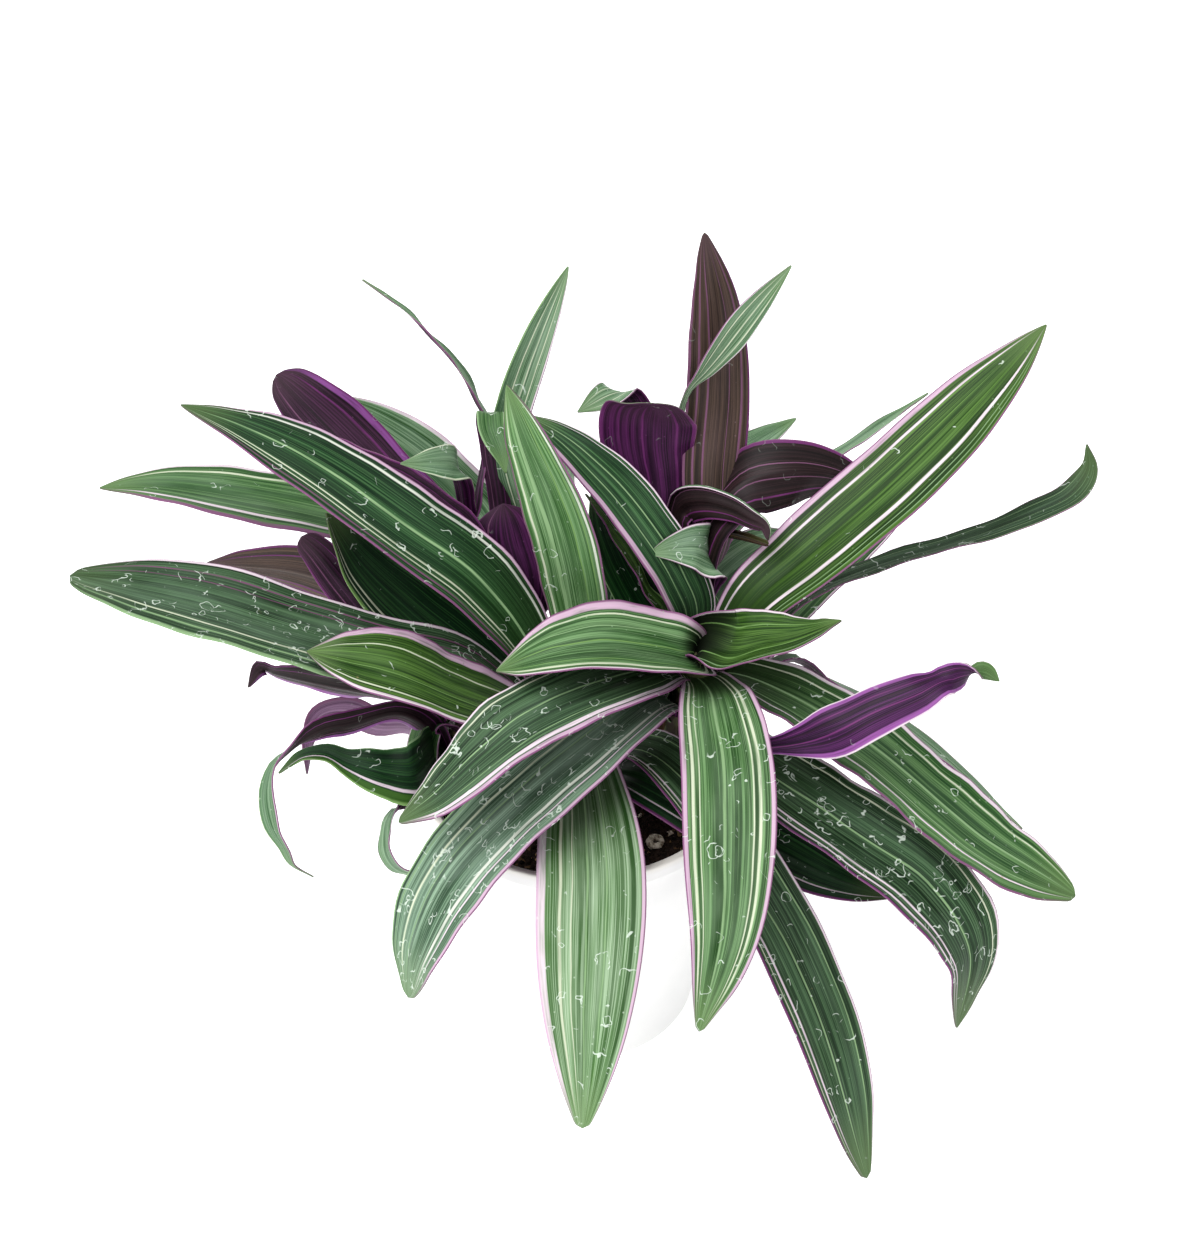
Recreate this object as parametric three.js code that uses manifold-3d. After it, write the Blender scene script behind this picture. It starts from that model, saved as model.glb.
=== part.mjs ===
// Variegated boat lily (Tradescantia spathacea) in a plain white pot.
// Millimetres, +Z up. The origin is the centre of the pot's base, and -Y is the front.
import * as THREE from "three";
import { mergeVertices } from "three/addons/utils/BufferGeometryUtils.js";
import Module from "manifold-3d";

const wasm = await Module();
wasm.setup();

// Driving dimensions
const potTopRadius = 60;
const potBaseRadius = 43;
const potHeight = 115;
const potWall = 2.5;
const potLipHeight = 7;
const potLipOut = 1.4;
const potFloor = 3;
const potSides = 48;
const drainHoles = 6;
const drainHoleRadius = 4;
const drainRingRadius = 27;

const soilTop = 104;
const soilHump = 2.2;
const stemHoleDepth = 26;
const stemHoleTop = 30; // the hole's cutter ends above the soil
const soilRings = 6;

const stemRadius = 6;
// Buds on a stem's heart: offset in x and y, radius and length.
const buds = [
  [0, 0, 3.6, 16],
  [2, 1, 2.4, 13],
  [-2, -1, 2.4, 10],
];
const budSink = 2;
const budSides = 10;
const stemSides = 12;
const fitGap = 0.3;

const bladeThickness = 1.7; // on the midrib at the base
const edgeThickness = 0.65;
const bladeSteps = 11;
const bladeAcross = 4;
const sheathWidth = 12; // a blade's width where it clasps the stem
const sheathFold = 42; // degrees each way round the stem
const sheathHeight = 6;
const sheathOpen = 2; // how far the sheath leans out over its height
const grownSink = 1; // how deep a young leaf's base sits in its stem
const tipWidth = 1.6;

// Shares of a blade's length
const widestAt = 0.45;
const sheathFade = 0.1;
const rollFull = 0.25;
const twistStart = 0.35;
const twistEnd = 0.75;

const degrees = Math.PI / 180;

// Colours
const green = 0x4f7d4a;
const white = 0xf4f4f2;
const soilBlack = 0x17130f;
const stemGreen = 0x6f7f4d;

// Crowns: where each stem leaves the pot's soil and where its heart is.
const crowns = {
  a: { foot: [30, -2, 100], heart: [45, -2, 176], bud: true },
  b: { foot: [-4, -4, 100], heart: [-2, -4, 146], bud: true },
  c: { foot: [24, 26, 100], heart: [40, 38, 183], bud: false },
  d: { foot: [-22, 30, 100], heart: [-30, 42, 186], bud: false },
  e: { foot: [-36, 6, 100], heart: [-43, 8, 126], bud: true },
};

// Leaves: the crown, the height of the base on its stem, the way the leaf faces (degrees from +X), the
// greatest width, the fold of the channel, how blunt the tip is, the roll at base and tip, whether it is a
// young one grown in one piece with its stem, and the path of its midrib.
const leaves = [
  {
    name: "a01", crown: "a", at: 171, faces: 185, width: 28, fold: 30,
    blunt: 2.8, roll: [0, 0], grown: false,
    path: [[24, -17, 189], [7, -21, 194], [-10, -24, 191], [-29, -24, 181]],
  },
  {
    name: "a02", crown: "a", at: 171, faces: -10, width: 22, fold: 34,
    blunt: 2.8, roll: [0, 0], grown: false,
    path: [[58, -12, 185], [73, -16, 193], [91, -15, 196]],
  },
  {
    name: "a03", crown: "a", at: 160, faces: 35, width: 35, fold: 22,
    blunt: 3.2, roll: [0, 0], grown: false,
    path: [[62, 8, 186], [79, 14, 200], [109, 29, 221], [139, 51, 241], [165, 72, 260]],
  },
  {
    name: "a04", crown: "a", at: 157, faces: -20, width: 35, fold: 20,
    blunt: 4.2, roll: [0, 0], grown: false,
    path: [[74, -14, 160], [101, -30, 151], [121, -44, 141], [143, -55, 127], [174, -64, 111]],
  },
  {
    name: "a05", crown: "a", at: 164, faces: -90, width: 34, fold: 20,
    blunt: 2.8, roll: [0, 0], grown: false,
    path: [[47, -28, 175], [50, -65, 172], [50, -90, 160], [48, -113, 140], [40, -129, 113]],
  },
  {
    name: "a06", crown: "a", at: 160, faces: 205, width: 33, fold: 20,
    blunt: 2.8, roll: [0, 0], grown: false,
    path: [[14, -26, 178], [-18, -44, 176], [-34, -55, 169], [-49, -62, 157], [-62, -65, 148]],
  },
  {
    name: "a07", crown: "a", at: 147, faces: 215, width: 34, fold: 18,
    blunt: 3.4, roll: [0, 0], grown: false,
    path: [
      [25, -18, 162], [4, -38, 159], [-21, -55, 146], [-45, -71, 126], [-57, -85, 104], [-60, -91, 88],
    ],
  },
  {
    name: "a08", crown: "a", at: 142, faces: -45, width: 35, fold: 18,
    blunt: 4, roll: [0, 0], grown: false,
    path: [
      [56, -26, 146], [77, -45, 142], [101, -60, 134], [121, -71, 124], [136, -83, 103], [132, -96, 78],
    ],
  },
  {
    name: "a09", crown: "a", at: 132, faces: 25, width: 20, fold: 16,
    blunt: 3, roll: [30, 30], grown: false,
    path: [[74, 13, 156], [101, 2, 149], [137, -16, 127], [158, -26, 109]],
  },
  {
    name: "a10", crown: "a", at: 152, faces: 125, width: 30, fold: 24,
    blunt: 3, roll: [0, 0], grown: false,
    path: [[40, 10, 179], [23, 13, 209], [11, 24, 225], [-4, 40, 234], [-19, 51, 238]],
  },
  {
    name: "a11", crown: "a", at: 176, faces: 140, width: 16, fold: 36,
    blunt: 2.6, roll: [0, 0], grown: true,
    path: [[45, 10, 186], [43, 9, 204], [37, 8, 213], [24, 4, 210]],
  },
  {
    name: "a12", crown: "a", at: 147, faces: 40, width: 26, fold: 18,
    blunt: 3, roll: [25, 25], grown: false,
    path: [[79, 27, 171], [105, 37, 178], [138, 46, 185], [171, 55, 196], [184, 66, 212]],
  },
  {
    name: "a13", crown: "a", at: 152, faces: -62, width: 25, fold: 16,
    blunt: 3, roll: [0, 80], grown: false,
    path: [
      [58, -32, 158], [71, -45, 163], [87, -48, 171], [109, -42, 181], [130, -33, 186], [145, -31, 182],
    ],
  },
  {
    name: "b01", crown: "b", at: 140, faces: 145, width: 34, fold: 22,
    blunt: 2.8, roll: [0, 0], grown: false,
    path: [
      [-20, 7, 170], [-37, 11, 194], [-62, 18, 212], [-91, 33, 226], [-120, 47, 234], [-142, 57, 236],
    ],
  },
  {
    name: "b02", crown: "b", at: 146, faces: 60, width: 29, fold: 24,
    blunt: 2.8, roll: [0, 0], grown: false,
    path: [[0, 10, 173], [-5, 9, 204], [-11, 13, 227], [-19, 20, 248], [-25, 29, 264]],
  },
  {
    name: "b03", crown: "b", at: 136, faces: 205, width: 36, fold: 20,
    blunt: 2.8, roll: [10, 20], grown: false,
    path: [[-23, -12, 151], [-42, -18, 165], [-63, -20, 179], [-80, -19, 183], [-95, -16, 183]],
  },
  {
    name: "b04", crown: "b", at: 126, faces: 180, width: 36, fold: 18,
    blunt: 4, roll: [0, 0], grown: false,
    path: [[-40, 2, 158], [-64, -1, 168], [-99, 1, 180], [-134, 7, 189], [-163, 12, 192], [-181, 16, 191]],
  },
  {
    name: "b05", crown: "b", at: 118, faces: 160, width: 34, fold: 18,
    blunt: 3, roll: [0, 0], grown: false,
    path: [[-40, 15, 150], [-62, 29, 162], [-80, 39, 177], [-92, 47, 195]],
  },
  {
    name: "b06", crown: "b", at: 133, faces: -90, width: 38, fold: 18,
    blunt: 2.8, roll: [0, 0], grown: false,
    path: [[-1, -17, 140], [2, -41, 135], [4, -73, 128], [3, -103, 110], [2, -123, 92], [1, -137, 73]],
  },
  {
    name: "b07", crown: "b", at: 124, faces: -50, width: 36, fold: 18,
    blunt: 4, roll: [0, 0], grown: false,
    path: [
      [23, -16, 137], [41, -33, 133], [57, -56, 120], [73, -78, 103], [88, -102, 76], [101, -126, 33],
    ],
  },
  {
    name: "b08", crown: "b", at: 114, faces: -45, width: 28, fold: 16,
    blunt: 3, roll: [0, 0], grown: false,
    path: [[18, -20, 128], [43, -32, 122], [68, -41, 113], [89, -48, 105], [112, -52, 98]],
  },
  {
    name: "b09", crown: "b", at: 134, faces: 40, width: 18, fold: 24,
    blunt: 2.8, roll: [0, 0], grown: false,
    path: [[8, 30, 156], [10, 48, 168], [14, 65, 180]],
  },
  {
    name: "c01", crown: "c", at: 178, faces: -58, width: 22, fold: 22,
    blunt: 2.8, roll: [30, 15], grown: false,
    path: [[50, 33, 203], [49, 41, 214], [50, 56, 238], [48, 65, 267], [43, 72, 298]],
  },
  {
    name: "c02", crown: "c", at: 172, faces: 140, width: 14, fold: 22,
    blunt: 2.8, roll: [20, 60], grown: true,
    path: [[25, 47, 208], [29, 50, 226], [35, 50, 242], [47, 49, 259], [61, 56, 278], [73, 62, 291]],
  },
  {
    name: "c03", crown: "c", at: 144, faces: -45, width: 25, fold: 18,
    blunt: 3, roll: [20, 120], grown: true,
    path: [[48, 26, 192], [53, 29, 212], [62, 32, 220], [74, 39, 219], [89, 44, 215], [104, 49, 207]],
  },
  {
    name: "c04", crown: "c", at: 132, faces: -95, width: 14, fold: 20,
    blunt: 3, roll: [10, 110], grown: true,
    path: [[39, 26, 187], [38, 29, 201], [43, 26, 215], [57, 23, 220], [66, 17, 210]],
  },
  {
    name: "c05", crown: "c", at: 154, faces: -170, width: 30, fold: 26,
    blunt: 3, roll: [-60, -50], grown: true,
    path: [[22, 32, 192], [19, 36, 214], [21, 41, 229], [25, 46, 243]],
  },
  {
    name: "c06", crown: "c", at: 164, faces: 185, width: 24, fold: 26,
    blunt: 2.8, roll: [0, 0], grown: true,
    path: [[21, 55, 208], [19, 69, 225], [13, 69, 232], [-1, 63, 228]],
  },
  {
    name: "c07", crown: "c", at: 164, faces: 100, width: 22, fold: 18,
    blunt: 2.8, roll: [0, 0], grown: false,
    path: [[52, 79, 190], [67, 93, 194], [81, 104, 196]],
  },
  {
    name: "c08", crown: "c", at: 152, faces: 70, width: 9, fold: 18,
    blunt: 2.8, roll: [60, 60], grown: false,
    path: [[67, 78, 177], [101, 96, 189], [116, 104, 196], [131, 112, 202]],
  },
  {
    name: "c09", crown: "c", at: 134, faces: 45, width: 22, fold: 18,
    blunt: 2.8, roll: [0, 0], grown: false,
    path: [[50, 62, 164], [61, 62, 161], [80, 61, 156]],
  },
  {
    name: "d01", crown: "d", at: 176, faces: 85, width: 11, fold: 18,
    blunt: 2.8, roll: [60, 60], grown: false,
    path: [[-30, 71, 222], [-46, 69, 251], [-63, 72, 268], [-76, 72, 279]],
  },
  {
    name: "d02", crown: "d", at: 182, faces: 10, width: 13, fold: 22,
    blunt: 2.8, roll: [-60, -80], grown: false,
    path: [[-26, 55, 222], [-23, 58, 236], [-15, 62, 260], [-4, 69, 286]],
  },
  {
    name: "d03", crown: "d", at: 168, faces: 150, width: 24, fold: 18,
    blunt: 4.4, roll: [-85, -85], grown: false,
    path: [[-56, 67, 192], [-74, 70, 204], [-95, 76, 221], [-109, 80, 233]],
  },
  {
    name: "d04", crown: "d", at: 148, faces: 80, width: 28, fold: 18,
    blunt: 3, roll: [0, 0], grown: false,
    path: [[-38, 87, 175], [-57, 97, 189], [-74, 103, 196], [-93, 111, 203]],
  },
  {
    name: "d05", crown: "d", at: 160, faces: 220, width: 16, fold: 18,
    blunt: 2.8, roll: [-40, -60], grown: false,
    path: [[-40, 35, 197], [-57, 43, 212], [-82, 51, 222], [-106, 58, 227]],
  },
  {
    name: "d06", crown: "d", at: 180, faces: 185, width: 18, fold: 26,
    blunt: 2.8, roll: [0, 0], grown: true,
    path: [[-42, 52, 194], [-44, 54, 203], [-48, 44, 220], [-62, 38, 225]],
  },
  {
    name: "d07", crown: "d", at: 148, faces: -80, width: 22, fold: 34,
    blunt: 3, roll: [0, 0], grown: true,
    path: [[-22, 25, 176], [-25, 30, 192], [-27, 38, 204]],
  },
  {
    name: "d08", crown: "d", at: 156, faces: 180, width: 34, fold: 18,
    blunt: 3, roll: [0, 0], grown: false,
    path: [[-68, 72, 166], [-97, 71, 177], [-130, 71, 185], [-159, 72, 189], [-178, 70, 189]],
  },
  {
    name: "d09", crown: "d", at: 184, faces: -60, width: 14, fold: 60,
    blunt: 3, roll: [0, 20], grown: true,
    path: [[-30, 39, 205], [-32, 42, 218], [-33, 46, 229], [-30, 53, 234]],
  },
  {
    name: "e01", crown: "e", at: 119, faces: 198, width: 16, fold: 18,
    blunt: 2.8, roll: [-80, 55], grown: false,
    path: [
      [-59, -4, 143], [-79, -13, 146], [-99, -21, 146], [-110, -30, 136], [-110, -41, 122], [-96, -51, 107],
    ],
  },
  {
    name: "e02", crown: "e", at: 112, faces: 208, width: 28, fold: 18,
    blunt: 3, roll: [0, 0], grown: false,
    path: [[-54, -20, 133], [-73, -22, 135], [-88, -19, 136], [-100, -16, 133], [-109, -17, 126]],
  },
  {
    name: "e03", crown: "e", at: 124, faces: 140, width: 17, fold: 18,
    blunt: 3, roll: [-70, -70], grown: false,
    path: [[-51, 7, 141], [-72, 4, 151], [-94, 4, 155], [-115, 4, 159], [-119, -1, 153]],
  },
  {
    name: "e04", crown: "e", at: 109, faces: 100, width: 18, fold: 18,
    blunt: 3, roll: [-60, -60], grown: false,
    path: [[-67, 26, 128], [-84, 25, 126], [-95, 22, 124], [-103, 15, 118], [-102, 5, 105]],
  },
  {
    name: "e05", crown: "e", at: 107, faces: 310, width: 10, fold: 18,
    blunt: 3, roll: [0, -40], grown: true,
    path: [[-41, -23, 117], [-62, -32, 123], [-70, -38, 117], [-67, -45, 106], [-60, -49, 101]],
  },
  {
    name: "d10", crown: "d", at: 126, faces: 195, width: 28, fold: 18,
    blunt: 3, roll: [-80, -80], grown: false,
    path: [[-60, 48, 144], [-83, 53, 154], [-105, 55, 162], [-139, 57, 164]],
  },
  {
    name: "d11", crown: "d", at: 114, faces: 205, width: 16, fold: 18,
    blunt: 3, roll: [-70, -70], grown: false,
    path: [[-76, 31, 148], [-87, 39, 164], [-96, 45, 175], [-104, 49, 183]],
  },
  {
    name: "a14", crown: "a", at: 126, faces: 60, width: 26, fold: 18,
    blunt: 2.8, roll: [0, 0], grown: false,
    path: [[78, 56, 147], [111, 95, 154], [141, 132, 158]],
  },
  {
    name: "a15", crown: "a", at: 138, faces: 160, width: 8, fold: 18,
    blunt: 2.8, roll: [0, 0], grown: false,
    path: [[33, 16, 171], [19, 25, 191], [6, 32, 207]],
  },
  {
    name: "c10", crown: "c", at: 158, faces: 90, width: 22, fold: 18,
    blunt: 2.8, roll: [0, 0], grown: false,
    path: [[53, 93, 179], [54, 129, 175], [56, 163, 169], [57, 196, 161]],
  },
  {
    name: "d12", crown: "d", at: 162, faces: 20, width: 24, fold: 18,
    blunt: 2.8, roll: [0, 0], grown: false,
    path: [[-18, 71, 180], [-13, 103, 172], [-10, 136, 159], [-6, 167, 143]],
  },
  {
    name: "d13", crown: "d", at: 126, faces: 100, width: 26, fold: 18,
    blunt: 2.8, roll: [0, 0], grown: false,
    path: [[-55, 111, 164], [-72, 137, 157], [-85, 159, 152]],
  },
];

const up = new THREE.Vector3(0, 0, 1);

function vector(values) {
  return new THREE.Vector3(...values);
}

// A closed body from vertex and index lists.
function bodyGeometry(points, faces) {
  const geometry = new THREE.BufferGeometry();
  const values = points.flatMap((p) => p.toArray());
  geometry.setAttribute("position", new THREE.Float32BufferAttribute(values, 3));
  geometry.setIndex(faces.flat());
  return geometry;
}

function toSolid(geometry) {
  const bare = geometry.clone();
  bare.deleteAttribute("normal");
  bare.deleteAttribute("uv");
  const merged = mergeVertices(bare, 1e-4);
  return new wasm.Manifold(
    new wasm.Mesh({
      numProp: 3,
      vertProperties: new Float32Array(merged.attributes.position.array),
      triVerts: new Uint32Array(merged.index.array),
    }),
  );
}

function fromSolid(solid) {
  const mesh = solid.getMesh();
  const geometry = new THREE.BufferGeometry();
  geometry.setAttribute("position", new THREE.Float32BufferAttribute(mesh.vertProperties, 3));
  geometry.setIndex(Array.from(mesh.triVerts));
  return geometry;
}

// Stem axes
function axisPoint(crown, height) {
  const foot = vector(crown.foot);
  const heart = vector(crown.heart);
  return foot.lerp(heart, (height - foot.z) / (heart.z - foot.z));
}

// A blade's half-width: a narrow sheath, widest before the middle, then an ogive to the tip.
function halfWidth(leaf, u) {
  const full = leaf.width / 2;
  const base = sheathWidth / 2;
  if (u < widestAt) {
    return base + (full - base) * (1 - (1 - u / widestAt) ** 2);
  }
  const toTip = (u - widestAt) / (1 - widestAt);
  return full * (1 - toTip ** leaf.blunt) + (tipWidth / 2) * toTip;
}

// The angle that half a blade's cross-section turns through.
function foldAngle(leaf, u) {
  return (leaf.fold * (1 - u / 2) + (sheathFold - leaf.fold) * Math.exp(-u / sheathFade)) * degrees;
}

// The midrib, from the sheath out along the leaf's path.
function leafCurve(leaf) {
  const crown = crowns[leaf.crown];
  const turn = leaf.faces * degrees;
  const outward = new THREE.Vector3(Math.cos(turn), Math.sin(turn), 0);
  const reach = leaf.grown ? stemRadius - grownSink : stemRadius + fitGap + bladeThickness;
  const first = axisPoint(crown, leaf.at).addScaledVector(outward, reach);
  const second = axisPoint(crown, leaf.at + sheathHeight).addScaledVector(outward, reach + sheathOpen);
  const points = [first, second, ...leaf.path.map(vector)];
  return { curve: new THREE.CatmullRomCurve3(points, false, "centripetal"), outward };
}

// How far a blade is turned about its midrib: nothing at the sheath, then from its first roll to its last.
function rollAngle(leaf, u) {
  const twist = THREE.MathUtils.smoothstep(u, twistStart, twistEnd);
  const roll = leaf.roll[0] + (leaf.roll[1] - leaf.roll[0]) * twist;
  return roll * Math.min(1, u / rollFull) * degrees;
}

// One blade: a folded strip swept along its path, both faces split alike.
function bladeGeometry(leaf) {
  const { curve, outward } = leafCurve(leaf);
  const sideways = new THREE.Vector3().crossVectors(outward, up);
  const grid = [];
  for (let i = 0; i <= bladeSteps; i += 1) {
    const u = i / bladeSteps;
    const centre = curve.getPointAt(u);
    const along = curve.getTangentAt(u);
    const flat = sideways.clone().addScaledVector(along, -sideways.dot(along)).normalize();
    const rise = new THREE.Vector3().crossVectors(flat, along);
    const roll = rollAngle(leaf, u);
    const side = flat.clone().multiplyScalar(Math.cos(roll)).addScaledVector(rise, Math.sin(roll));
    const face = rise.clone().multiplyScalar(Math.cos(roll)).addScaledVector(flat, -Math.sin(roll));
    const fold = foldAngle(leaf, u);
    const bend = halfWidth(leaf, u) / fold;
    const row = [];
    for (let j = 0; j <= bladeAcross; j += 1) {
      const turn = ((2 * j) / bladeAcross - 1) * fold;
      row.push(
        centre
          .clone()
          .addScaledVector(side, bend * Math.sin(turn))
          .addScaledVector(face, bend * (1 - Math.cos(turn))),
      );
    }
    grid.push(row);
  }
  return thickStrip(grid);
}

// The strip's lower face lies along the local normal, thickest on the midrib.
function thickStrip(grid) {
  const rows = grid.length;
  const columns = grid[0].length;
  const last = columns - 1;
  const points = [];
  const faces = [];
  for (const row of grid) {
    points.push(...row);
  }
  for (let i = 0; i < rows; i += 1) {
    for (let j = 0; j < columns; j += 1) {
      const alongward = grid[Math.min(i + 1, rows - 1)][j].clone().sub(grid[Math.max(i - 1, 0)][j]);
      const across = grid[i][Math.min(j + 1, columns - 1)].clone().sub(grid[i][Math.max(j - 1, 0)]);
      const normal = across.cross(alongward).normalize();
      const midrib = 1 - Math.abs((2 * j) / (columns - 1) - 1);
      const taper = 1 - (i / (rows - 1)) ** 2;
      const thickness = edgeThickness + (bladeThickness - edgeThickness) * midrib * taper;
      points.push(grid[i][j].clone().addScaledVector(normal, -thickness));
    }
  }
  const upper = (i, j) => i * columns + j;
  const lower = (i, j) => rows * columns + i * columns + j;
  const quad = (a, b, c, d) => faces.push([a, b, c], [a, c, d]);
  for (let i = 0; i < rows - 1; i += 1) {
    for (let j = 0; j < columns - 1; j += 1) {
      quad(upper(i, j), upper(i, j + 1), upper(i + 1, j + 1), upper(i + 1, j));
      faces.push([lower(i, j), lower(i + 1, j + 1), lower(i, j + 1)]);
      faces.push([lower(i, j), lower(i + 1, j), lower(i + 1, j + 1)]);
    }
    quad(lower(i, 0), upper(i, 0), upper(i + 1, 0), lower(i + 1, 0));
    quad(upper(i, last), lower(i, last), lower(i + 1, last), upper(i + 1, last));
  }
  for (let j = 0; j < columns - 1; j += 1) {
    quad(upper(0, j), lower(0, j), lower(0, j + 1), upper(0, j + 1));
    quad(upper(rows - 1, j + 1), lower(rows - 1, j + 1), lower(rows - 1, j), upper(rows - 1, j));
  }
  return bodyGeometry(points, faces);
}

// Pot: lathe profile, closed on itself round the wall and over the floor.
function potRadiusAt(height) {
  return potBaseRadius + ((potTopRadius - potLipOut - potBaseRadius) * height) / potHeight;
}

function potGeometry() {
  const lipBottom = potHeight - potLipHeight;
  const profile = [
    [0, 0],
    [potBaseRadius - 3, 0],
    [potBaseRadius - 0.8, 0.9],
    [potBaseRadius + 0.4, 3],
    [potRadiusAt(lipBottom - 1), lipBottom - 1],
    [potTopRadius - 0.3, lipBottom],
    [potTopRadius, lipBottom + 1],
    [potTopRadius, potHeight - 1],
    [potTopRadius - 0.9, potHeight],
    [potTopRadius - potWall, potHeight],
    [potRadiusAt(potHeight - 3) - potWall, potHeight - 3],
    [potRadiusAt(potFloor + 1.5) - potWall, potFloor + 1.5],
    [potBaseRadius - potWall - 1.5, potFloor],
    [0, potFloor],
  ];
  const shell = toSolid(lathe(profile));
  const holes = [];
  for (let k = 0; k < drainHoles; k += 1) {
    const angle = ((k + 0.5) * 2 * Math.PI) / drainHoles;
    const hole = new THREE.CylinderGeometry(drainHoleRadius, drainHoleRadius, 3 * potFloor, 16);
    hole.rotateX(Math.PI / 2);
    hole.translate(drainRingRadius * Math.cos(angle), drainRingRadius * Math.sin(angle), 0);
    holes.push(toSolid(hole));
  }
  return fromSolid(holes.reduce((body, hole) => body.subtract(hole), shell));
}

function lathe(profile, sides = potSides) {
  const points = profile.map(([r, z]) => new THREE.Vector2(r, z));
  const geometry = new THREE.LatheGeometry(points, sides);
  geometry.rotateX(Math.PI / 2);
  return geometry;
}

// Soil: fills the pot to just under the lip, with plain holes for the stems.
function soilGeometry() {
  const wallAt = (z) => potRadiusAt(z) - potWall - fitGap;
  const profile = [
    [0, potFloor + fitGap],
    [potBaseRadius - potWall - 2, potFloor + fitGap],
    [wallAt(potFloor + 3), potFloor + 3],
  ];
  for (let k = 0; k <= soilRings; k += 1) {
    const share = 1 - k / soilRings;
    profile.push([wallAt(soilTop) * share, soilTop]);
  }
  const geometry = lathe(profile);
  const position = geometry.attributes.position;
  for (let k = 0; k < position.count; k += 1) {
    const [x, y, z] = [position.getX(k), position.getY(k), position.getZ(k)];
    if (z > soilTop - 0.5) {
      const away = Math.hypot(x, y) / wallAt(soilTop);
      const wave = Math.sin(x * 0.16 + 1) * Math.cos(y * 0.19 - 0.6) + 0.5 * Math.sin(x * 0.31 - y * 0.27);
      position.setZ(k, z + soilHump * (1 - away ** 4) * (0.5 + 0.5 * wave));
    }
  }
  let soil = toSolid(geometry);
  for (const crown of Object.values(crowns)) {
    soil = soil.subtract(toSolid(stemTube(crown, stemRadius + fitGap, -fitGap, stemHoleTop)));
  }
  return fromSolid(soil);
}

// A straight tube along a crown's axis, from its hole's floor to a height past the foot.
function stemTube(crown, radius, below, above) {
  const bottom = axisPoint(crown, soilTop - stemHoleDepth + below);
  const top = axisPoint(crown, soilTop + above);
  const path = new THREE.LineCurve3(bottom, top);
  const circle = new THREE.Shape().absarc(0, 0, radius, 0, 2 * Math.PI);
  return new THREE.ExtrudeGeometry(circle, {
    steps: 1,
    curveSegments: stemSides,
    extrudePath: path,
    bevelEnabled: false,
  });
}

// Stem: the tube up to the heart, with its buds and its youngest leaves grown on.
function stemGeometry(name, crown) {
  const heart = vector(crown.heart);
  let body = toSolid(stemTube(crown, stemRadius, 0, heart.z - soilTop));
  const axis = heart.clone().sub(vector(crown.foot)).normalize();
  for (const [dx, dy, radius, length] of crown.bud ? buds : []) {
    const bud = new THREE.ConeGeometry(radius, length, budSides);
    bud.rotateX(Math.PI / 2);
    bud.translate(0, 0, length / 2 - budSink);
    bud.applyQuaternion(new THREE.Quaternion().setFromUnitVectors(up, axis));
    bud.translate(heart.x + dx, heart.y + dy, heart.z);
    body = body.add(toSolid(bud));
  }
  for (const leaf of leaves.filter((entry) => entry.grown && entry.crown === name)) {
    body = body.add(toSolid(bladeGeometry(leaf)));
  }
  return fromSolid(body);
}

function piece(name, geometry, colour, roughness) {
  const material = new THREE.MeshStandardMaterial({ color: colour, roughness, metalness: 0 });
  const mesh = new THREE.Mesh(geometry, material);
  mesh.name = name;
  return mesh;
}

const group = new THREE.Group();
group.add(piece("pot", potGeometry(), white, 0.45));
group.add(piece("soil", soilGeometry(), soilBlack, 0.95));
for (const [name, crown] of Object.entries(crowns)) {
  group.add(piece(`stem_${name}`, stemGeometry(name, crown), stemGreen, 0.6));
}
for (const leaf of leaves.filter((entry) => !entry.grown)) {
  group.add(piece(`leaf_${leaf.name}`, bladeGeometry(leaf), green, 0.5));
}

export default group;
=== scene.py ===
# Potted tradescantia with striped leaves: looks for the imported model.
# Lengths in the dictionaries are millimetres and turns are degrees, unless a note says otherwise.
import math
import random
from bisect import bisect_right

import bmesh
import bpy
from mathutils import Matrix, Vector, noise


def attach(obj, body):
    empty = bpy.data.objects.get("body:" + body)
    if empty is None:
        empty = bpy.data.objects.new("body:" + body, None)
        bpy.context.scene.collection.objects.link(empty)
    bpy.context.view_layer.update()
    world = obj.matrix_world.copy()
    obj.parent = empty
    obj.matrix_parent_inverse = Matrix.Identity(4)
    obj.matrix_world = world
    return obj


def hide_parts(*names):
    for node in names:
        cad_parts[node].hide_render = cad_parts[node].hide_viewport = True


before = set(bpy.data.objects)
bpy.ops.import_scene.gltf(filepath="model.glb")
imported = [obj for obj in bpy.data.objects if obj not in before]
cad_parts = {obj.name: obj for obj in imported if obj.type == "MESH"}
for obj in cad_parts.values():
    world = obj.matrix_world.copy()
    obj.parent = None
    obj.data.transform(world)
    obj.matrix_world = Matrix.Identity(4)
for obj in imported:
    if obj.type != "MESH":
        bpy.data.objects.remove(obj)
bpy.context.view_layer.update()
mm = 0.001
worldUp = Vector((0, 0, 1))
fullTurn = 2 * math.pi
scene = bpy.context.scene


def fromScreen(channel):
    share = channel / 255
    return share / 12.92 if share <= 0.04045 else ((share + 0.055) / 1.055) ** 2.4


def tint(red, green, blue):
    return (fromScreen(red), fromScreen(green), fromScreen(blue), 1.0)


def ease(x):
    x = max(0.0, min(1.0, x))
    return x * x * (3 - 2 * x)


# Small helpers for node trees

def feed(tree, node, inputs):
    # An input is another node's output or a plain value.
    for key, value in inputs.items():
        if isinstance(value, bpy.types.NodeSocket):
            tree.links.new(value, node.inputs[key])
        else:
            node.inputs[key].default_value = value


def addNode(tree, kind, inputs=None, **settings):
    node = tree.nodes.new(kind)
    for key, value in settings.items():
        setattr(node, key, value)
    feed(tree, node, inputs or {})
    return node


def calc(tree, operation, first, second=None, clamp=False):
    inputs = {0: first} if second is None else {0: first, 1: second}
    return addNode(tree, "ShaderNodeMath", inputs, operation=operation, use_clamp=clamp).outputs[0]


def times(tree, first, second):
    return calc(tree, "MULTIPLY", first, second)


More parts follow.
